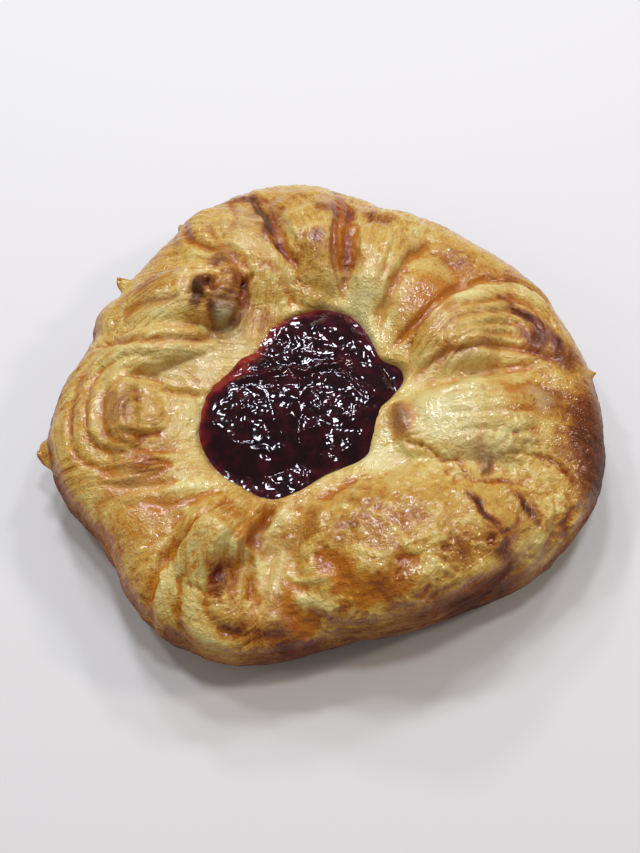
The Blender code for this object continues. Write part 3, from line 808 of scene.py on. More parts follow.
def layered(place_across, place_along, spacing, seed):
    """The rise of laminated steps: each climbs slowly and drops at its torn edge."""
    wander = 0.9 * lattice_noise(np.stack([place_along / 14, place_across / 8, fold_shift], 1), seed)
    wander += 0.35 * lattice_noise(np.stack([place_along / 5, place_across / 3, fold_shift], 1), seed + 1)
    phase = place_across / spacing + wander
    step = np.floor(phase)
    share = phase - step
    size = 0.55 + 0.45 * np.sin(step * 2.4 + seed)
    climb = np.where(share < 0.75, share / 0.75, (1 - share) / 0.25)
    return size * (climb - 0.5)


coarse = layered(across, along, pitch, 11)
fine = layered(across + 3.1, along, pitch * FINE_PITCH, 12)
arc = np.radians(angle) * edge_reach
sheets = layered(points[:, 2], arc, SHEET_PITCH, 13)
patchy = smooth_step(-0.35, 0.35, lattice_noise(points / PATCHY_SIZE, 21))

# A whole sheet swells softly, with thin wrinkles between, and a net of finer ones in its glaze.
warp = WARP_SHIFT * np.stack([lattice_noise(points / WARP_SIZE, seed) for seed in (15, 16, 17)], 1)
swells = lattice_noise((points + warp) / SWELL_SIZE, 18)
wrinkles = lattice_noise((points + warp) / WRINKLE_SIZE, 19)
grain = lattice_noise(points / GRAIN_SIZE, 20)
creasing = 0.5 - 1.4 * np.abs(wrinkles)
crinkled = 0.8 * swells + 0.35 * creasing
film = np.zeros(len(points))
for size, seed, weight in FILM_NETS:
    film += weight * np.clip(1 - 3 * np.abs(lattice_noise((points + warp) / size, seed)), 0, 1) ** 1.5
film *= smooth_step(-0.2, 0.3, lattice_noise(points / 8, 24)) * (0.25 + 1.15 * crinkle)
seam = smooth_step(0.02, 0.22, lead)
laminated = seam * (0.3 + 0.7 * patchy) * (steps * coarse + FINE_RISE * steps * fine)
top_rise = laminated + crinkle * crinkled + FILM_RISE * film
wall_rise = SHEET_RISE * sheets + 0.15 * crinkled
rise = (top_rise * (1 - wall) + wall_rise * wall) * above + GRAIN_RISE * grain
rise = np.where(points[:, 2] > BASE_SNAP, rise, 0)
points += normals * rise[:, None]

# The well: the dough stays below the jam inside its outline, and rises steeply at the rim.
lid = JAM_LEVEL - WELL_DEPTH + WELL_SLOPE * np.maximum(past_jam + WELL_LIP, 0)
sunk = -WELL_ROUNDING * np.logaddexp(-points[:, 2] / WELL_ROUNDING, -lid / WELL_ROUNDING)
points[:, 2] = np.where(points[:, 2] > BED_TOP / 2, sunk, points[:, 2])
for axis in (0, 1):
    low_side, high_side = (corner[axis] / MM for corner in cad_box)
    inside = min(1, (high_side - low_side) / np.ptp(points[:, axis]))
    points[:, axis] = (points[:, axis] - points[:, axis].min()) * inside + low_side
over = points[:, 2] - CREST
room = min(1, (cad_box[1][2] / MM - CREST) / over.max())
points[:, 2] = np.where(over > 0, CREST + over * room, points[:, 2])
points, normals = move_points(dough.data, points)
dough.data.shade_smooth()

# The dough's colours. The sheet is pale cream where the filling kept it moist or a fold shaded it,
# golden on the open faces, and toasted brown on thin edges and low on the walls, where part of the
# brown is painted shade. Some patches add painted shade and painted light as well. Glaze pools in
# the creases and on whole sheets, and turns them amber.


class Patch(NamedTuple):
    """A soft oval patch on the crust: its middle in plan, its half sizes, its turn and strength."""

    x: float
    y: float
    long: float
    short: float
    turn: float
    strength: float


THIN_SIDE = 140.0
GOLDEN = 0.42
# The next two darken the outer walls and their foot: partly browning at the thin edge and on the tray, and
# partly painted shade.
EDGE_BAKE_AND_SHADE = 0.26
BASE_BAKE_AND_SHADE = 0.26
CLOUD_BAKE = 0.08
STEP_BAKE = 0.10
FILM_BAKE = 0.14
# Where the crust is browner, lighter, moist and pale, or amber with glaze than its form alone makes it.
# The browner patches are partly toasting and partly painted shade, and the lighter ones painted light.
TOASTED_AND_SHADED = (
    Patch(-25.1, 18.6, 3.6, 3.0, 0, 0.2),
    Patch(-20.6, 25.0, 4.5, 2.4, -50, 0.2),
    Patch(-20.0, 13.5, 3.0, 1.8, 40, 0.12),
    Patch(-35.7, 19.8, 5.5, 3.0, 25, 0.16),
    Patch(-2.5, 29.4, 5.0, 4.0, 0, 0.14),
    Patch(-38.2, -6.8, 5.0, 4.0, 0, 0.14),
    Patch(-13.2, 40.5, 8.0, 1.3, -72, 0.45),
    Patch(-8.8, 30.5, 4.0, 1.0, -55, 0.35),
    Patch(-1.2, 31.5, 3.5, 3.0, 0, 0.28),
    Patch(12.8, 40.4, 4.5, 2.5, -35, 0.28),
    Patch(44.6, 10.8, 4.0, 2.4, -35, 0.4),
    Patch(43.0, 16.0, 6.0, 1.2, -40, 0.4),
    Patch(53.5, -12.0, 5.5, 13.0, 0, 0.5),
    Patch(47.2, -4.7, 5.0, 3.5, 0, 0.25),
    Patch(31.2, -18.0, 5.0, 1.0, -80, 0.35),
    Patch(31.0, -30.5, 4.5, 1.0, -50, 0.5),
    Patch(39.5, -28.5, 4.0, 1.0, -60, 0.45),
    Patch(32.9, -36.0, 3.0, 2.6, 0, 0.3),
    Patch(-19.3, -42.7, 2.6, 3.2, 0, 0.5),
    Patch(-18.1, 47.7, 7.0, 2.0, -10, 0.35),
    Patch(-41.0, -7.5, 4.0, 3.0, 30, 0.22),
    Patch(-35.1, 21.3, 6.5, 4.0, 20, 0.22),
    Patch(-26.8, 1.4, 4.3, 6.4, 0, 0.12),
    Patch(5.3, -32.5, 15.0, 6.4, 10, 0.18),
    Patch(24.9, -37.8, 3.9, 6.9, -20, 0.22),
    Patch(-36.4, -39.4, 3.0, 5.9, 30, 0.12),
    Patch(-10.5, -51.6, 9.7, 2.9, 0, 0.18),
    Patch(41.5, 25.4, 4.3, 4.4, 0, 0.25),
    Patch(50.1, 7.4, 2.8, 5.9, 20, 0.3),
    Patch(48.2, -15.4, 3.0, 6.4, 0, 0.25),
    Patch(0.5, 40.0, 3.2, 3.4, 0, 0.25),
    Patch(-13.7, 44.7, 8.6, 2.5, 0, 0.12),
    Patch(28.7, 31.1, 4.7, 2.9, -30, 0.15),
    Patch(13.4, -39.2, 4.7, 4.4, 0, 0.2),
    Patch(-7.0, -34.7, 3.4, 5.4, 10, 0.18),
    Patch(-3.0, 41.0, 16.0, 5.0, 0, 0.13),
    Patch(-16.0, 39.0, 5.0, 7.0, 0, 0.16),
    Patch(12.0, -33.0, 6.0, 5.0, 0, 0.15),
    Patch(31.0, -34.0, 9.0, 4.0, 20, 0.12),
    Patch(45.5, 8.5, 4.0, 5.0, 30, 0.22),
    Patch(-22.5, 18.5, 3.0, 4.0, 0, 0.2),
    Patch(32.5, -33.0, 3.0, 2.5, 0, 0.2),
    Patch(51.0, -16.0, 3.5, 9.0, -15, 0.2),
    Patch(-11.5, 14.5, 3.5, 3.0, 0, 0.2),
)
# Painted light: these patches lighten places that folds and hollows shade, such as the fan's hollow and the
# shaded side of the crease by the glazed panel.
LIGHTENED_IN_SHADE = (
    Patch(-20.0, -37.5, 5.5, 8.0, 20, 0.15),
    Patch(11.0, 18.5, 7.0, 6.0, 0, 0.12),
    Patch(-41.0, -33.0, 7.0, 7.0, 0, 0.15),
    Patch(-36.0, 9.0, 8.0, 10.0, 0, 0.08),
    Patch(-24.5, -41.0, 4.0, 6.0, 30, 0.1),
)
# Mostly moist, pale dough, with painted light among it: some patches, such as the one between the V-groove
# and the glazed panel, lighten the shaded side of a fold.
PALE = (
    Patch(24.7, -9.4, 9.0, 6.5, -10, 0.85),
    Patch(29.4, -15.0, 8.0, 4.0, -20, 0.6),
    Patch(-26.0, -8.4, 4.0, 9.0, 0, 0.25),
    Patch(11.5, -16.8, 6.0, 4.0, -40, 0.6),
    Patch(8.6, 14.9, 4.0, 7.0, 0, 0.5),
    Patch(-26.6, 5.1, 10.0, 4.5, 10, 0.5),
    Patch(-9.0, -40.4, 2.5, 10.0, 0, 0.5),
    Patch(-18.0, 37.0, 5.0, 9.0, -20, 0.35),
    Patch(6.0, 23.3, 5.6, 4.4, 0, 0.35),
    Patch(-31.6, 15.4, 6.5, 3.2, 0, 0.4),
    Patch(-19.5, 12.3, 2.8, 2.2, 0, 0.7),
    Patch(29.2, 3.5, 7.3, 3.4, 10, 0.55),
    Patch(43.7, -5.2, 3.0, 2.7, 0, 0.45),
    Patch(28.8, -17.0, 6.5, 2.7, 0, 0.4),
    Patch(-36.8, -23.1, 7.3, 3.7, 0, 0.3),
    Patch(41.9, -36.2, 5.2, 3.9, 30, 0.35),
    Patch(-7.7, 23.1, 3.0, 2.9, 0, 0.35),
    Patch(-40.0, 3.0, 8.0, 15.0, 0, 0.15),
    Patch(33.0, 12.0, 11.0, 8.0, -30, 0.14),
    Patch(36.0, -13.5, 9.0, 4.5, 0, 0.25),
    Patch(12.0, 18.5, 8.0, 6.0, 0, 0.3),
    Patch(-19.8, 15.6, 2.0, 2.5, 0, 0.3),
)
AMBER = (
    Patch(22.0, 19.5, 10.0, 6.5, 45, 0.85),
    Patch(31.0, 27.0, 9.0, 5.0, -35, 0.5),
    Patch(-37.0, -28.0, 11.0, 9.0, 35, 0.5),
    Patch(5.9, -43.1, 7.0, 5.0, 0, 0.15),
    Patch(-14.0, -29.0, 5.0, 8.0, -20, 0.6),
    Patch(13.1, -28.8, 8.0, 5.0, 10, 0.35),
    Patch(4.2, 38.0, 1.6, 12.0, 0, 0.8),
    Patch(40.0, -6.0, 8.0, 8.0, 0, 0.35),
    Patch(17.0, -9.5, 2.0, 4.5, -15, 0.8),
    Patch(18.0, -44.5, 7.0, 2.6, 10, 0.4),
    Patch(-40.0, -31.0, 6.0, 7.0, 30, 0.3),
    Patch(-20.5, -37.5, 5.0, 8.0, 20, 0.35),
)


def patches(places, group, warp):
    """The strongest of a group of patches at each place, with ragged edges."""
    best = np.zeros(len(places))
    for patch in group:
        offset = places[:, :2] + warp[:, :2] - (patch.x, patch.y)
        turn = math.radians(patch.turn)
        long = (offset[:, 0] * math.cos(turn) + offset[:, 1] * math.sin(turn)) / patch.long
        short = (offset[:, 1] * math.cos(turn) - offset[:, 0] * math.sin(turn)) / patch.short
        best = np.maximum(best, patch.strength * np.exp(-(long ** 2 + short ** 2) ** 1.5))
    return best


def store(mesh, name, values):
    """Stores one number for each point of a mesh under a name that its finish reads."""
    layer = mesh.attributes.new(name, "FLOAT", "POINT")
    layer.data.foreach_set("value", np.ascontiguousarray(values, dtype=np.float32))


close_hollow = ((neighbour_means(dough.data, points, 4) - points) * normals).sum(axis=1)
wide_hollow = ((neighbour_means(dough.data, points, 40) - points) * normals).sum(axis=1)
near_jam = smooth_step(9, 0, past_jam)
low = smooth_step(14, 3, points[:, 2])
clouds = lattice_noise(points / 9, 33) + 0.6 * lattice_noise(points / 4, 34)
# Painted shade and light: the darkening holds the toasted patches, some of them painted shade, less the
# lightened patches, which are painted light on shaded folds.
darkening = patches(points, TOASTED_AND_SHADED, 1.6 * ragged) * (1 - 0.5 * wall) + pleat_toast
darkening -= patches(points, LIGHTENED_IN_SHADE, 3 * ragged)
pale = patches(points, PALE, 3 * ragged) * (1 - 0.8 * wall)
glazed = patches(points, AMBER, 2.5 * ragged)
steep = smooth_step(0.85, 0.3, normals[:, 2])
# How dark the crust is: its baking, with painted shade at the walls' foot and outer edge and in some
# patches, and painted light in the lightened ones.
bake_and_shading = GOLDEN + CLOUD_BAKE * clouds + EDGE_BAKE_AND_SHADE * outside * steep + BASE_BAKE_AND_SHADE * low
bake_and_shading += darkening - 0.2 * pale - 0.06 * near_jam - FILM_BAKE * (1 - wall) * film
bake_and_shading += STEP_BAKE * wall * sheets - STEP_BAKE * (1 - wall) * steps * coarse

# Glaze pools in the hollows, between the crumples and at the outer edge.
amber = glazed + pleat_amber + np.clip(0.9 * wide_hollow + 1.2 * close_hollow, 0, 0.6) - 0.3 * film
amber += 0.45 * np.clip(-swells, 0, 1) * smooth_step(0.1, 0.6, crinkle) + 0.2 * outside + 0.15

# The jam is smeared furthest onto the dough on the side where it is thin.
smear = 0.4 + 0.6 * np.cos(np.radians(angle - THIN_SIDE))
smear *= smooth_step(-0.6, 0.6, lattice_noise(points / 3, 35))

# The finish reads these numbers at each point, and draws its streaks along each fold's own layers.
top_layers = smooth_step(0.01, 0.12, lead) * (0.25 + 0.75 * np.clip(steps / 0.5, 0, 1))
for name, values in (
    ("bake_and_shading", bake_and_shading),
    ("pale", pale),
    ("amber", np.clip(amber, 0, 1.2)),
    ("wall", wall),
    ("layered", top_layers * (1 - wall) + 0.6 * wall),
    ("stain", smooth_step(2.0, -0.2, past_jam) * np.clip(smear, 0, 1)),
    ("calm", np.clip(1.1 * glazed + 0.5 * pale + 0.3 * near_jam, 0, 0.85)),
):
    store(dough.data, name, values)
for name, columns in (("strand", (across, along, fold_shift)), ("layers", (points[:, 2], arc, 0 * arc))):
    layer = dough.data.attributes.new(name, "FLOAT_VECTOR", "POINT")
    layer.data.foreach_set("vector", np.stack(columns, 1).astype(np.float32).ravel())


def linear(hex_colour):
    """A colour given as sRGB hex, as linear RGBA."""
    parts = [int(hex_colour[k:k + 2], 16) / 255 for k in (1, 3, 5)]
    return [p / 12.92 if p <= 0.04045 else ((p + 0.055) / 1.055) ** 2.4 for p in parts] + [1.0]


def add_node(tree, kind, links=(), **settings):
    """Adds a node. links pairs its inputs with sockets or values, and settings are its properties."""
    made = tree.nodes.new(kind)
    for name, value in settings.items():
        setattr(made, name, value)
    for place, value in links:
        if isinstance(value, bpy.types.NodeSocket):
            tree.links.new(value, made.inputs[place])
        else:
            made.inputs[place].default_value = value
    return made


# Baked laminated dough under a thin sugar glaze: a matt, crumpled skin that shows fine streaks of
# its layers, pale where it stands up, partly as a painted highlight, and amber where the glaze has
# run together. The clear glaze over it breaks up into many small sharp lights, and the walls have
# little of it, since it is brushed on the top. Sizes are in millimetres, and the grain is coarser
# than it is, so that it shows.
BAKE_COLOURS = (
    (0.05, "#e6d999"),
    (0.24, "#dcc474"),
    (0.42, "#cd9f45"),
    (0.58, "#ae7223"),
    (0.74, "#824010"),
    (0.94, "#542607"),
)
GLAZE_TINT = "#e6b24a"
CREAM = "#dfcf92"
JAM_STAIN = "#7c3020"
RELIEF_DEPTH = 0.5
GLAZE_DEPTH = 0.5
RIDGE_SHARPNESS = 5.0
TONE_MIDDLE = 0.46
POOLED_FULL = 0.74
crust = bpy.data.materials.new("glazed_laminated_crust")
crust.use_nodes = True
tree = crust.node_tree
shader = tree.nodes["Principled BSDF"]
stored = {}
for name in ("bake_and_shading", "pale", "amber", "wall", "layered", "stain", "calm"):
    stored[name] = add_node(tree, "ShaderNodeAttribute", attribute_name=name).outputs["Fac"]
for name in ("strand", "layers"):
    stored[name] = add_node(tree, "ShaderNodeAttribute", attribute_name=name).outputs["Vector"]
body = add_node(tree, "ShaderNodeTexCoord").outputs["Object"]
in_mm = add_node(tree, "ShaderNodeVectorMath", [(0, body), ("Scale", 1 / MM)], operation="SCALE").outputs[0]
noises = {}
for name, place, width, length, detail, bend in (
    ("streaks", stored["strand"], 0.38, 3.5, 3.0, 0.0),
    ("bands", stored["strand"], 1.8, 12.0, 3.0, 0.0),
    ("wall_streaks", stored["layers"], 0.5, 4.0, 3.0, 0.0),
    ("wall_bands", stored["layers"], 1.4, 9.0, 3.0, 0.5),
    ("crumples", in_mm, 2.4, 2.4, 5.0, 0.8),
    ("wrinkles", in_mm, 2.0, 2.0, 3.0, 1.2),
    ("ripples", in_mm, 1.8, 1.8, 2.0, 0.6),
    ("blotches", in_mm, 5.0, 5.0, 4.0, 0.0),
    ("grain", in_mm, 0.4, 0.4, 3.0, 0.0),
    ("glaze_patches", in_mm, 7.0, 7.0, 3.0, 0.5),
):
    spread = (1 / width, 1 / length, 1 / width)
    scaled = add_node(tree, "ShaderNodeVectorMath", [(0, place), (1, spread)], operation="MULTIPLY")
    links = [("Vector", scaled.outputs[0]), ("Scale", 1.0), ("Detail", detail), ("Distortion", bend)]
    noises[name] = add_node(tree, "ShaderNodeTexNoise", links).outputs["Fac"]

# A mix node's inputs are its share, 0, two numbers, 2 and 3, and two colours, 6 and 7.
for name in ("streaks", "bands"):
    links = [(0, stored["wall"]), (2, noises[name]), (3, noises["wall_" + name])]
    chosen = add_node(tree, "ShaderNodeMix", links, data_type="FLOAT").outputs[0]
    links = [(0, stored["layered"]), (2, 0.5), (3, chosen)]
    noises[name] = add_node(tree, "ShaderNodeMix", links, data_type="FLOAT").outputs[0]
links = [(0, stored["calm"]), (2, noises["crumples"]), (3, 0.5)]
noises["crumples"] = add_node(tree, "ShaderNodeMix", links, data_type="FLOAT").outputs[0]

# Wrinkles are thin ridges, where the noise crosses its middle.
off_middle = add_node(tree, "ShaderNodeMath", [(0, noises["wrinkles"]), (1, 0.5)], operation="SUBTRACT")
off_middle = add_node(tree, "ShaderNodeMath", [(0, off_middle.outputs[0])], operation="ABSOLUTE")
links = [(0, off_middle.outputs[0]), (1, -RIDGE_SHARPNESS), (2, 1.0)]
noises["ridges"] = add_node(tree, "ShaderNodeMath", links, operation="MULTIPLY_ADD").outputs[0]

# Each sum adds weighed noises to a start: how dark the skin looks, from its baking and the painted
# shade and light, how much glaze has pooled, and the relief of the skin and of the glaze over it.
# Raised crumples and wrinkle ridges come out paler in tone, partly as a painted highlight.
sums = {}
for name, start, parts in (
    ("tone", stored["bake_and_shading"], (
        ("streaks", 0.46), ("bands", 0.34), ("blotches", 0.14), ("crumples", -0.20),
        ("ridges", -0.08), ("grain", 0.28),
    )),
    ("pooled", stored["amber"], (("crumples", -0.9), ("blotches", 0.5), ("ridges", -0.2))),
    ("relief", 0.0, (
        ("crumples", 0.9), ("streaks", 0.45), ("bands", 0.4), ("grain", 0.4), ("ridges", 0.3),
    )),
    ("glaze", 0.0, (
        ("ripples", 0.6), ("crumples", 0.35), ("bands", 0.2), ("ridges", 0.1), ("streaks", 0.12),
    )),
):
    total = start
    for part, weight in parts:
        links = [(0, noises[part]), (1, weight), (2, total)]
        total = add_node(tree, "ShaderNodeMath", links, operation="MULTIPLY_ADD").outputs[0]
    sums[name] = total
links = [(0, sums["tone"]), (1, TONE_MIDDLE)]
centred = add_node(tree, "ShaderNodeMath", links, operation="SUBTRACT").outputs[0]
ramp = add_node(tree, "ShaderNodeValToRGB", [("Fac", centred)])
while len(ramp.color_ramp.elements) < len(BAKE_COLOURS):
    ramp.color_ramp.elements.new(0.5)
for stop, (place, colour) in zip(ramp.color_ramp.elements, BAKE_COLOURS):
    stop.position = place
    stop.color = linear(colour)
links = [("Value", sums["pooled"]), ("From Min", 0.0), ("From Max", POOLED_FULL)]
amber_share = add_node(tree, "ShaderNodeMapRange", links, interpolation_type="SMOOTHSTEP").outputs["Result"]
links = [(0, stored["pale"]), (1, 0.7)]
pale_share = add_node(tree, "ShaderNodeMath", links, operation="MULTIPLY", use_clamp=True).outputs[0]
colour = ramp.outputs["Color"]
for share, over, kind in (
    (amber_share, GLAZE_TINT, "MULTIPLY"),
    (pale_share, CREAM, "MIX"),
    (stored["stain"], JAM_STAIN, "MIX"),
):
    links = [(0, share), (6, colour), (7, linear(over))]
    colour = add_node(tree, "ShaderNodeMix", links, data_type="RGBA", blend_type=kind).outputs[2]
tree.links.new(colour, shader.inputs["Base Color"])
for name, depth, socket in (("relief", RELIEF_DEPTH, "Normal"), ("glaze", GLAZE_DEPTH, "Coat Normal")):
    links = [("Strength", 0.9), ("Distance", depth * MM), ("Height", sums[name])]
    bump = add_node(tree, "ShaderNodeBump", links)
    tree.links.new(bump.outputs["Normal"], shader.inputs[socket])

# The glaze is thinner in patches, dries where the crust's colour is darkest, and is nearly off the walls.
links = [("Value", noises["glaze_patches"]), ("From Min", 0.36), ("From Max", 0.56), ("To Min", 0.7)]
coating = add_node(tree, "ShaderNodeMapRange", links).outputs["Result"]
links = [("Value", stored["bake_and_shading"]), ("From Min", 0.6), ("From Max", 1.0), ("To Min", 1.0), ("To Max", 0.25)]
dry = add_node(tree, "ShaderNodeMapRange", links).outputs["Result"]
coating = add_node(tree, "ShaderNodeMath", [(0, coating), (1, dry)], operation="MULTIPLY").outputs[0]
links = [("Value", stored["wall"]), ("To Min", 1.0), ("To Max", 0.2)]
brushed = add_node(tree, "ShaderNodeMapRange", links).outputs["Result"]
coat = add_node(tree, "ShaderNodeMath", [(0, coating), (1, brushed)], operation="MULTIPLY")
tree.links.new(coat.outputs[0], shader.inputs["Coat Weight"])
for name, value in (
    ("Roughness", 0.55),
    ("IOR", 1.45),
    ("Specular IOR Level", 0.15),
    ("Coat Roughness", 0.1),
    ("Coat IOR", 1.5),
    ("Subsurface Weight", 0.12),
    ("Subsurface Scale", 0.0012),
):
    shader.inputs[name].default_value = value
dough.data.materials.append(crust)
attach(dough, "root")
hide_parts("dough")

# The jam: a dollop of dark red fruit jam, baked in the well until its skin wrinkled. It is a soft
# gel with lumps of fruit, held by the dough round it, and it is thin and bright red where they meet.

JAM_OVERLAP = 2.0
JAM_FLOOR = 7.0
JAM_RIM_DEPTH = 2.4
JAM_RINGS = 84
JAM_SPOKES = 300
JAM_LEAN = 0.05
JAM_THIN_EDGE = 2.6
JAM_SINK = 0.3
JAM_UNDER_RINGS = 10
# Each mound's middle, its half sizes and its height.
JAM_MOUNDS = (
    (2.5, 10.5, 15.0, 11.5, 2.2),
    (-8.5, -2.5, 13.5, 15.0, 3.0),
    (7.5, -2.5, 12.5, 14.5, 2.9),
)
# Each lump's middle, its radius and its height.
JAM_LUMPS = (
    (-10.0, 6.0, 3.0, 0.5),
    (-9.0, -3.0, 5.0, 0.5),
    (-3.5, -5.5, 3.2, 0.45),
    (4.3, -1.2, 4.0, 0.45),
    (10.9, -5.2, 2.4, 0.45),
    (5.8, -15.0, 3.4, 0.65),
    (1.4, -16.4, 2.2, 0.4),
    (-16.4, -7.0, 2.0, 0.5),
    (-5.2, -20.6, 4.0, 0.5),
    (1.0, 13.0, 5.0, 0.3),
    (7.5, 10.5, 3.0, 0.3),
    (-10.5, -13.0, 2.6, 0.5),
    (-14.5, -10.5, 1.8, 0.4),
    (-0.5, -11.0, 2.2, 0.45),
    (-6.5, -15.5, 2.0, 0.4),
    (3.0, -8.0, 1.8, 0.35),
    (10.5, -12.0, 2.0, 0.4),
)
JAM_PLEATS = {
    "left_fold": (
        Pleat(0.7, 0.8, 0, 0, ((-17.4, -0.7), (-15.4, 0.2), (-12.2, 0.9), (-9.6, 2.3), (-6.9, 3.3))),
    ),
    "right_fold": (
        Pleat(0.7, 0.8, 0, 0, (
            (-6.9, 3.3), (-3.9, 2.5), (-0.4, 3.5), (2.6, 4.0), (4.8, 5.2), (6.3, 6.1),
        )),
        Pleat(0.4, 0.25, 0, 0, ((0.6, 3.0), (4.8, 1.4), (7.8, -1.7), (9.0, -4.5))),
    ),
    "valley": (
        Pleat(1.8, -0.3, 0, 0, ((-5.8, -1.0), (-4.6, -6.0), (-5.4, -11.0), (-3.6, -15.7), (-4.2, -20.1))),
    ),
    "skin_line": (
        Pleat(0.35, 0.22, 0, 0, ((-19.2, -12.5), (-15.5, -14.2), (-12.8, -13.8))),
        Pleat(0.35, 0.22, 0, 0, ((-14.6, -15.9), (-11.3, -15.1), (-9.0, -17.2))),
    ),
}


def jam_heights(x, y):
    """Heights of the jam's skin at places from the well's middle: mounds, lumps and wrinkles."""
    rise = np.zeros(len(x))
    for mound_x, mound_y, radius_x, radius_y, height in JAM_MOUNDS:
        away = ((x - mound_x) / radius_x) ** 2 + ((y - mound_y) / radius_y) ** 2
        rise = np.maximum(rise, height * np.clip(1 - away, 0, 1) ** 0.8)
    lumpy = np.zeros(len(x))
    for lump_x, lump_y, radius, height in JAM_LUMPS:
        near = np.exp(-((x - lump_x) ** 2 + (y - lump_y) ** 2) / radius ** 2)
        rise += height * near
        lumpy = np.maximum(lumpy, near)
    rough = 0.5 + 0.5 * lumpy
    flat = np.stack([x, y, np.zeros(len(x))], axis=1)
    warp = 1.2 * np.stack([lattice_noise(flat / 3, seed) for seed in (51, 52, 53)], 1)
    warp[:, 2] = 0
    lumps = lattice_noise((flat + warp) / 3.4, 54)
    beads = lattice_noise((flat + 0.4 * warp) / 1.5, 55)
    fine = lattice_noise((flat + 0.4 * warp) / 0.9, 56)
    pleat_rise = pleats_at(np.stack([x + WELL_X, y + WELL_Y], 1) + 0.3 * warp[:, :2], JAM_PLEATS)[0]
    lean = JAM_LEAN * np.minimum(y + 4, 0)
    bumps = 0.30 * lumps + rough * (0.17 * beads + 0.09 * fine)
    return JAM_LEVEL + rise + pleat_rise + lean + bumps - JAM_SINK


spokes = np.arange(JAM_SPOKES) * 360 / JAM_SPOKES
outer = around_outline(JAM_RADII, spokes) + JAM_OVERLAP
# The rings of points stand a little closer together near the rim, where the jam is thin.
share = (np.arange(1, JAM_RINGS + 1) / JAM_RINGS) ** 0.8
jam_reach = (outer * share[:, None]).ravel()
jam_angle = np.radians(np.tile(spokes, JAM_RINGS))
jam_x = jam_reach * np.cos(jam_angle)
jam_y = jam_reach * np.sin(jam_angle)
skin = np.stack([jam_x + WELL_X, jam_y + WELL_Y, jam_heights(jam_x, jam_y)], axis=1)
under_share = np.linspace(1, 0.1, JAM_UNDER_RINGS)
under = []
rim_height = skin[-JAM_SPOKES:, 2] - JAM_RIM_DEPTH
for place in under_share:
    height = JAM_FLOOR + (rim_height - JAM_FLOOR) * place ** 3
    under.append(np.column_stack([from_well(spokes, outer * place), height]))
top_middle = [[WELL_X, WELL_Y, jam_heights(np.zeros(1), np.zeros(1))[0]]]
jam_points = np.concatenate([top_middle, skin, *under, [[WELL_X, WELL_Y, JAM_FLOOR]]])
jam_faces = []
ring_count = JAM_RINGS + JAM_UNDER_RINGS
for spoke in range(JAM_SPOKES):
    beside = (spoke + 1) % JAM_SPOKES
    jam_faces.append((0, 1 + spoke, 1 + beside))
    for ring in range(ring_count - 1):
        here = 1 + ring * JAM_SPOKES
        outward = here + JAM_SPOKES
        jam_faces.append((here + spoke, outward + spoke, outward + beside, here + beside))
    last = 1 + (ring_count - 1) * JAM_SPOKES
    jam_faces.append((last + spoke, len(jam_points) - 1, last + beside))
jam = new_object("jam_dollop", jam_points, jam_faces)
jam.data.shade_smooth()
inward = (outer * (1 - share[:, None])).ravel() - JAM_OVERLAP
thin = np.clip(1 - inward / JAM_THIN_EDGE, 0, 1)
thin *= 0.55 + 0.45 * np.cos(jam_angle - math.radians(THIN_SIDE))
store(jam.data, "thin", np.concatenate([[0], thin, np.ones(len(jam_points) - len(thin) - 1)]))

# Fruit jam: a wet, dark red gel. Its colour is almost black where it is deep, and a clear red
# shows at the thin edge. The gloss is that of sugar syrup.
JAM_COLOURS = (
    (0.10, "#1c0108"),
    (0.45, "#3c0512"),
    (0.75, "#5e1018"),
    (1.00, "#8a2c20"),
)
PULP_SIZE = 3.0
PULP_CONTRAST = 1.6
THIN_GAIN = 0.9
DEEP_START = -0.64
gel = bpy.data.materials.new("dark_red_fruit_jam")
gel.use_nodes = True
tree = gel.node_tree
shader = tree.nodes["Principled BSDF"]
thin_value = add_node(tree, "ShaderNodeAttribute", attribute_name="thin").outputs["Fac"]
body = add_node(tree, "ShaderNodeTexCoord").outputs["Object"]
links = [("Vector", body), ("Scale", 1 / (PULP_SIZE * MM)), ("Detail", 3.0)]
pulp = add_node(tree, "ShaderNodeTexNoise", links).outputs["Fac"]
links = [(0, thin_value), (1, THIN_GAIN), (2, DEEP_START)]
thinner = add_node(tree, "ShaderNodeMath", links, operation="MULTIPLY_ADD")
links = [(0, pulp), (1, PULP_CONTRAST), (2, thinner.outputs[0])]
thinness = add_node(tree, "ShaderNodeMath", links, operation="MULTIPLY_ADD")
ramp = add_node(tree, "ShaderNodeValToRGB", [("Fac", thinness.outputs[0])])
while len(ramp.color_ramp.elements) < len(JAM_COLOURS):
    ramp.color_ramp.elements.new(0.5)
for stop, (place, colour) in zip(ramp.color_ramp.elements, JAM_COLOURS):
    stop.position = place
    stop.color = linear(colour)
tree.links.new(ramp.outputs["Color"], shader.inputs["Base Color"])
for name, value in (
    ("Roughness", 0.10),
    ("IOR", 1.42),
    ("Coat Weight", 0.3),
    ("Coat Roughness", 0.04),
    ("Subsurface Weight", 0.08),
    ("Subsurface Scale", 0.002),
):
    shader.inputs[name].default_value = value
jam.data.materials.append(gel)
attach(jam, "root")
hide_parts("jam_filling")

# The studio: a plain pale floor, soft lights and the camera, none of them part of the pastry. The
# camera looks down at the photograph's angle.

FLOOR_SIZE = 2000.0
AIM_X = WELL_X + 4.5
AIM_Y = WELL_Y - 4.0
AIM_Z = 14.0
CAMERA_ELEVATION = 62.0
CAMERA_DISTANCE = 243.0
LENS = 50.0
SENSOR_WIDTH = 36
IMAGE_WIDTH = 640
IMAGE_HEIGHT = 853
AIM_COLUMN = 322.0
AIM_ROW = 425.0
CARD_COLOUR = "#e4e1dc"
DAYLIGHT = "#ecf1ff"
LAMPLIGHT = "#ffefd9"
ROOM_COLOUR = "#f4f4f6"
ROOM_LIGHT = 0.18

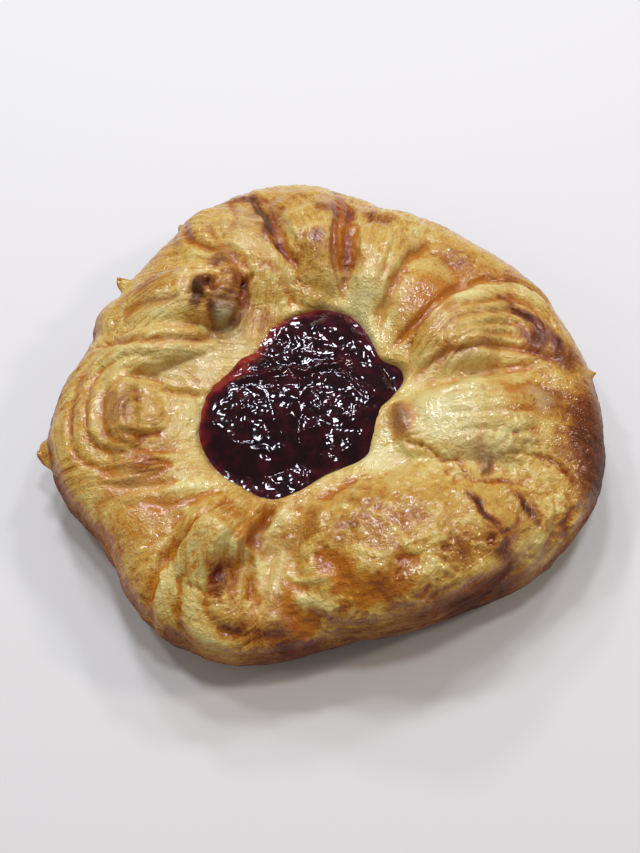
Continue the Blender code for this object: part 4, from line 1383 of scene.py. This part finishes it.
half_floor = FLOOR_SIZE / 2
corners = [(x * half_floor, y * half_floor, 0) for x, y in ((-1, -1), (1, -1), (1, 1), (-1, 1))]
floor = new_object("floor", corners, [(0, 1, 2, 3)])

# Uncoated card: matt, and evenly pale.
paper = bpy.data.materials.new("pale_card")
paper.use_nodes = True
paper.node_tree.nodes["Principled BSDF"].inputs["Base Color"].default_value = linear(CARD_COLOUR)
paper.node_tree.nodes["Principled BSDF"].inputs["Roughness"].default_value = 0.8
floor.data.materials.append(paper)

aim = Vector((AIM_X, AIM_Y, AIM_Z)) * MM
tilt = math.radians(CAMERA_ELEVATION)
toward_camera = Vector((0, -math.cos(tilt), math.sin(tilt)))
camera = bpy.data.objects.new("camera", bpy.data.cameras.new("camera"))
bpy.context.scene.collection.objects.link(camera)
camera.location = aim + toward_camera * CAMERA_DISTANCE * MM
camera.rotation_euler = (-toward_camera).to_track_quat("-Z", "Y").to_euler()
camera.data.lens = LENS
camera.data.sensor_width = SENSOR_WIDTH
camera.data.clip_start = 0.01
camera.data.shift_x = -(AIM_COLUMN - IMAGE_WIDTH / 2) / IMAGE_HEIGHT
camera.data.shift_y = (AIM_ROW - IMAGE_HEIGHT / 2) / IMAGE_HEIGHT
bpy.context.scene.camera = camera


def soft_light(name, x, y, z, width, height, watts, colour):
    """An area light at a place in millimetres, turned to the pastry."""
    light = bpy.data.lights.new(name, "AREA")
    light.shape = "RECTANGLE"
    light.size = width * MM
    light.size_y = height * MM
    light.energy = watts
    light.color = linear(colour)[:3]
    made = bpy.data.objects.new(name, light)
    bpy.context.scene.collection.objects.link(made)
    made.location = Vector((x, y, z)) * MM
    made.rotation_euler = (aim - made.location).to_track_quat("-Z", "Y").to_euler()
    return made


soft_light("window", -60, 320, 560, 90, 80, 1.15, DAYLIGHT)
fill = soft_light("room_left", -560, -160, 420, 500, 400, 0.6, LAMPLIGHT)
fill.visible_glossy = False
soft_light("room_right", 480, 60, 420, 65, 65, 0.65, LAMPLIGHT)
for name, x, y, z in (
    ("lamp_left", -330, 260, 600),
    ("lamp_right", 260, 420, 520),
    ("lamp_near", 60, 60, 650),
    ("lamp_far", -160, 520, 480),
):
    soft_light(name, x, y, z, 75, 75, 0.92, DAYLIGHT)
world = bpy.data.worlds.new("room")
bpy.context.scene.world = world
world.use_nodes = True
world.node_tree.nodes["Background"].inputs["Color"].default_value = linear(ROOM_COLOUR)
world.node_tree.nodes["Background"].inputs["Strength"].default_value = ROOM_LIGHT
bpy.context.scene.view_settings.view_transform = "Standard"
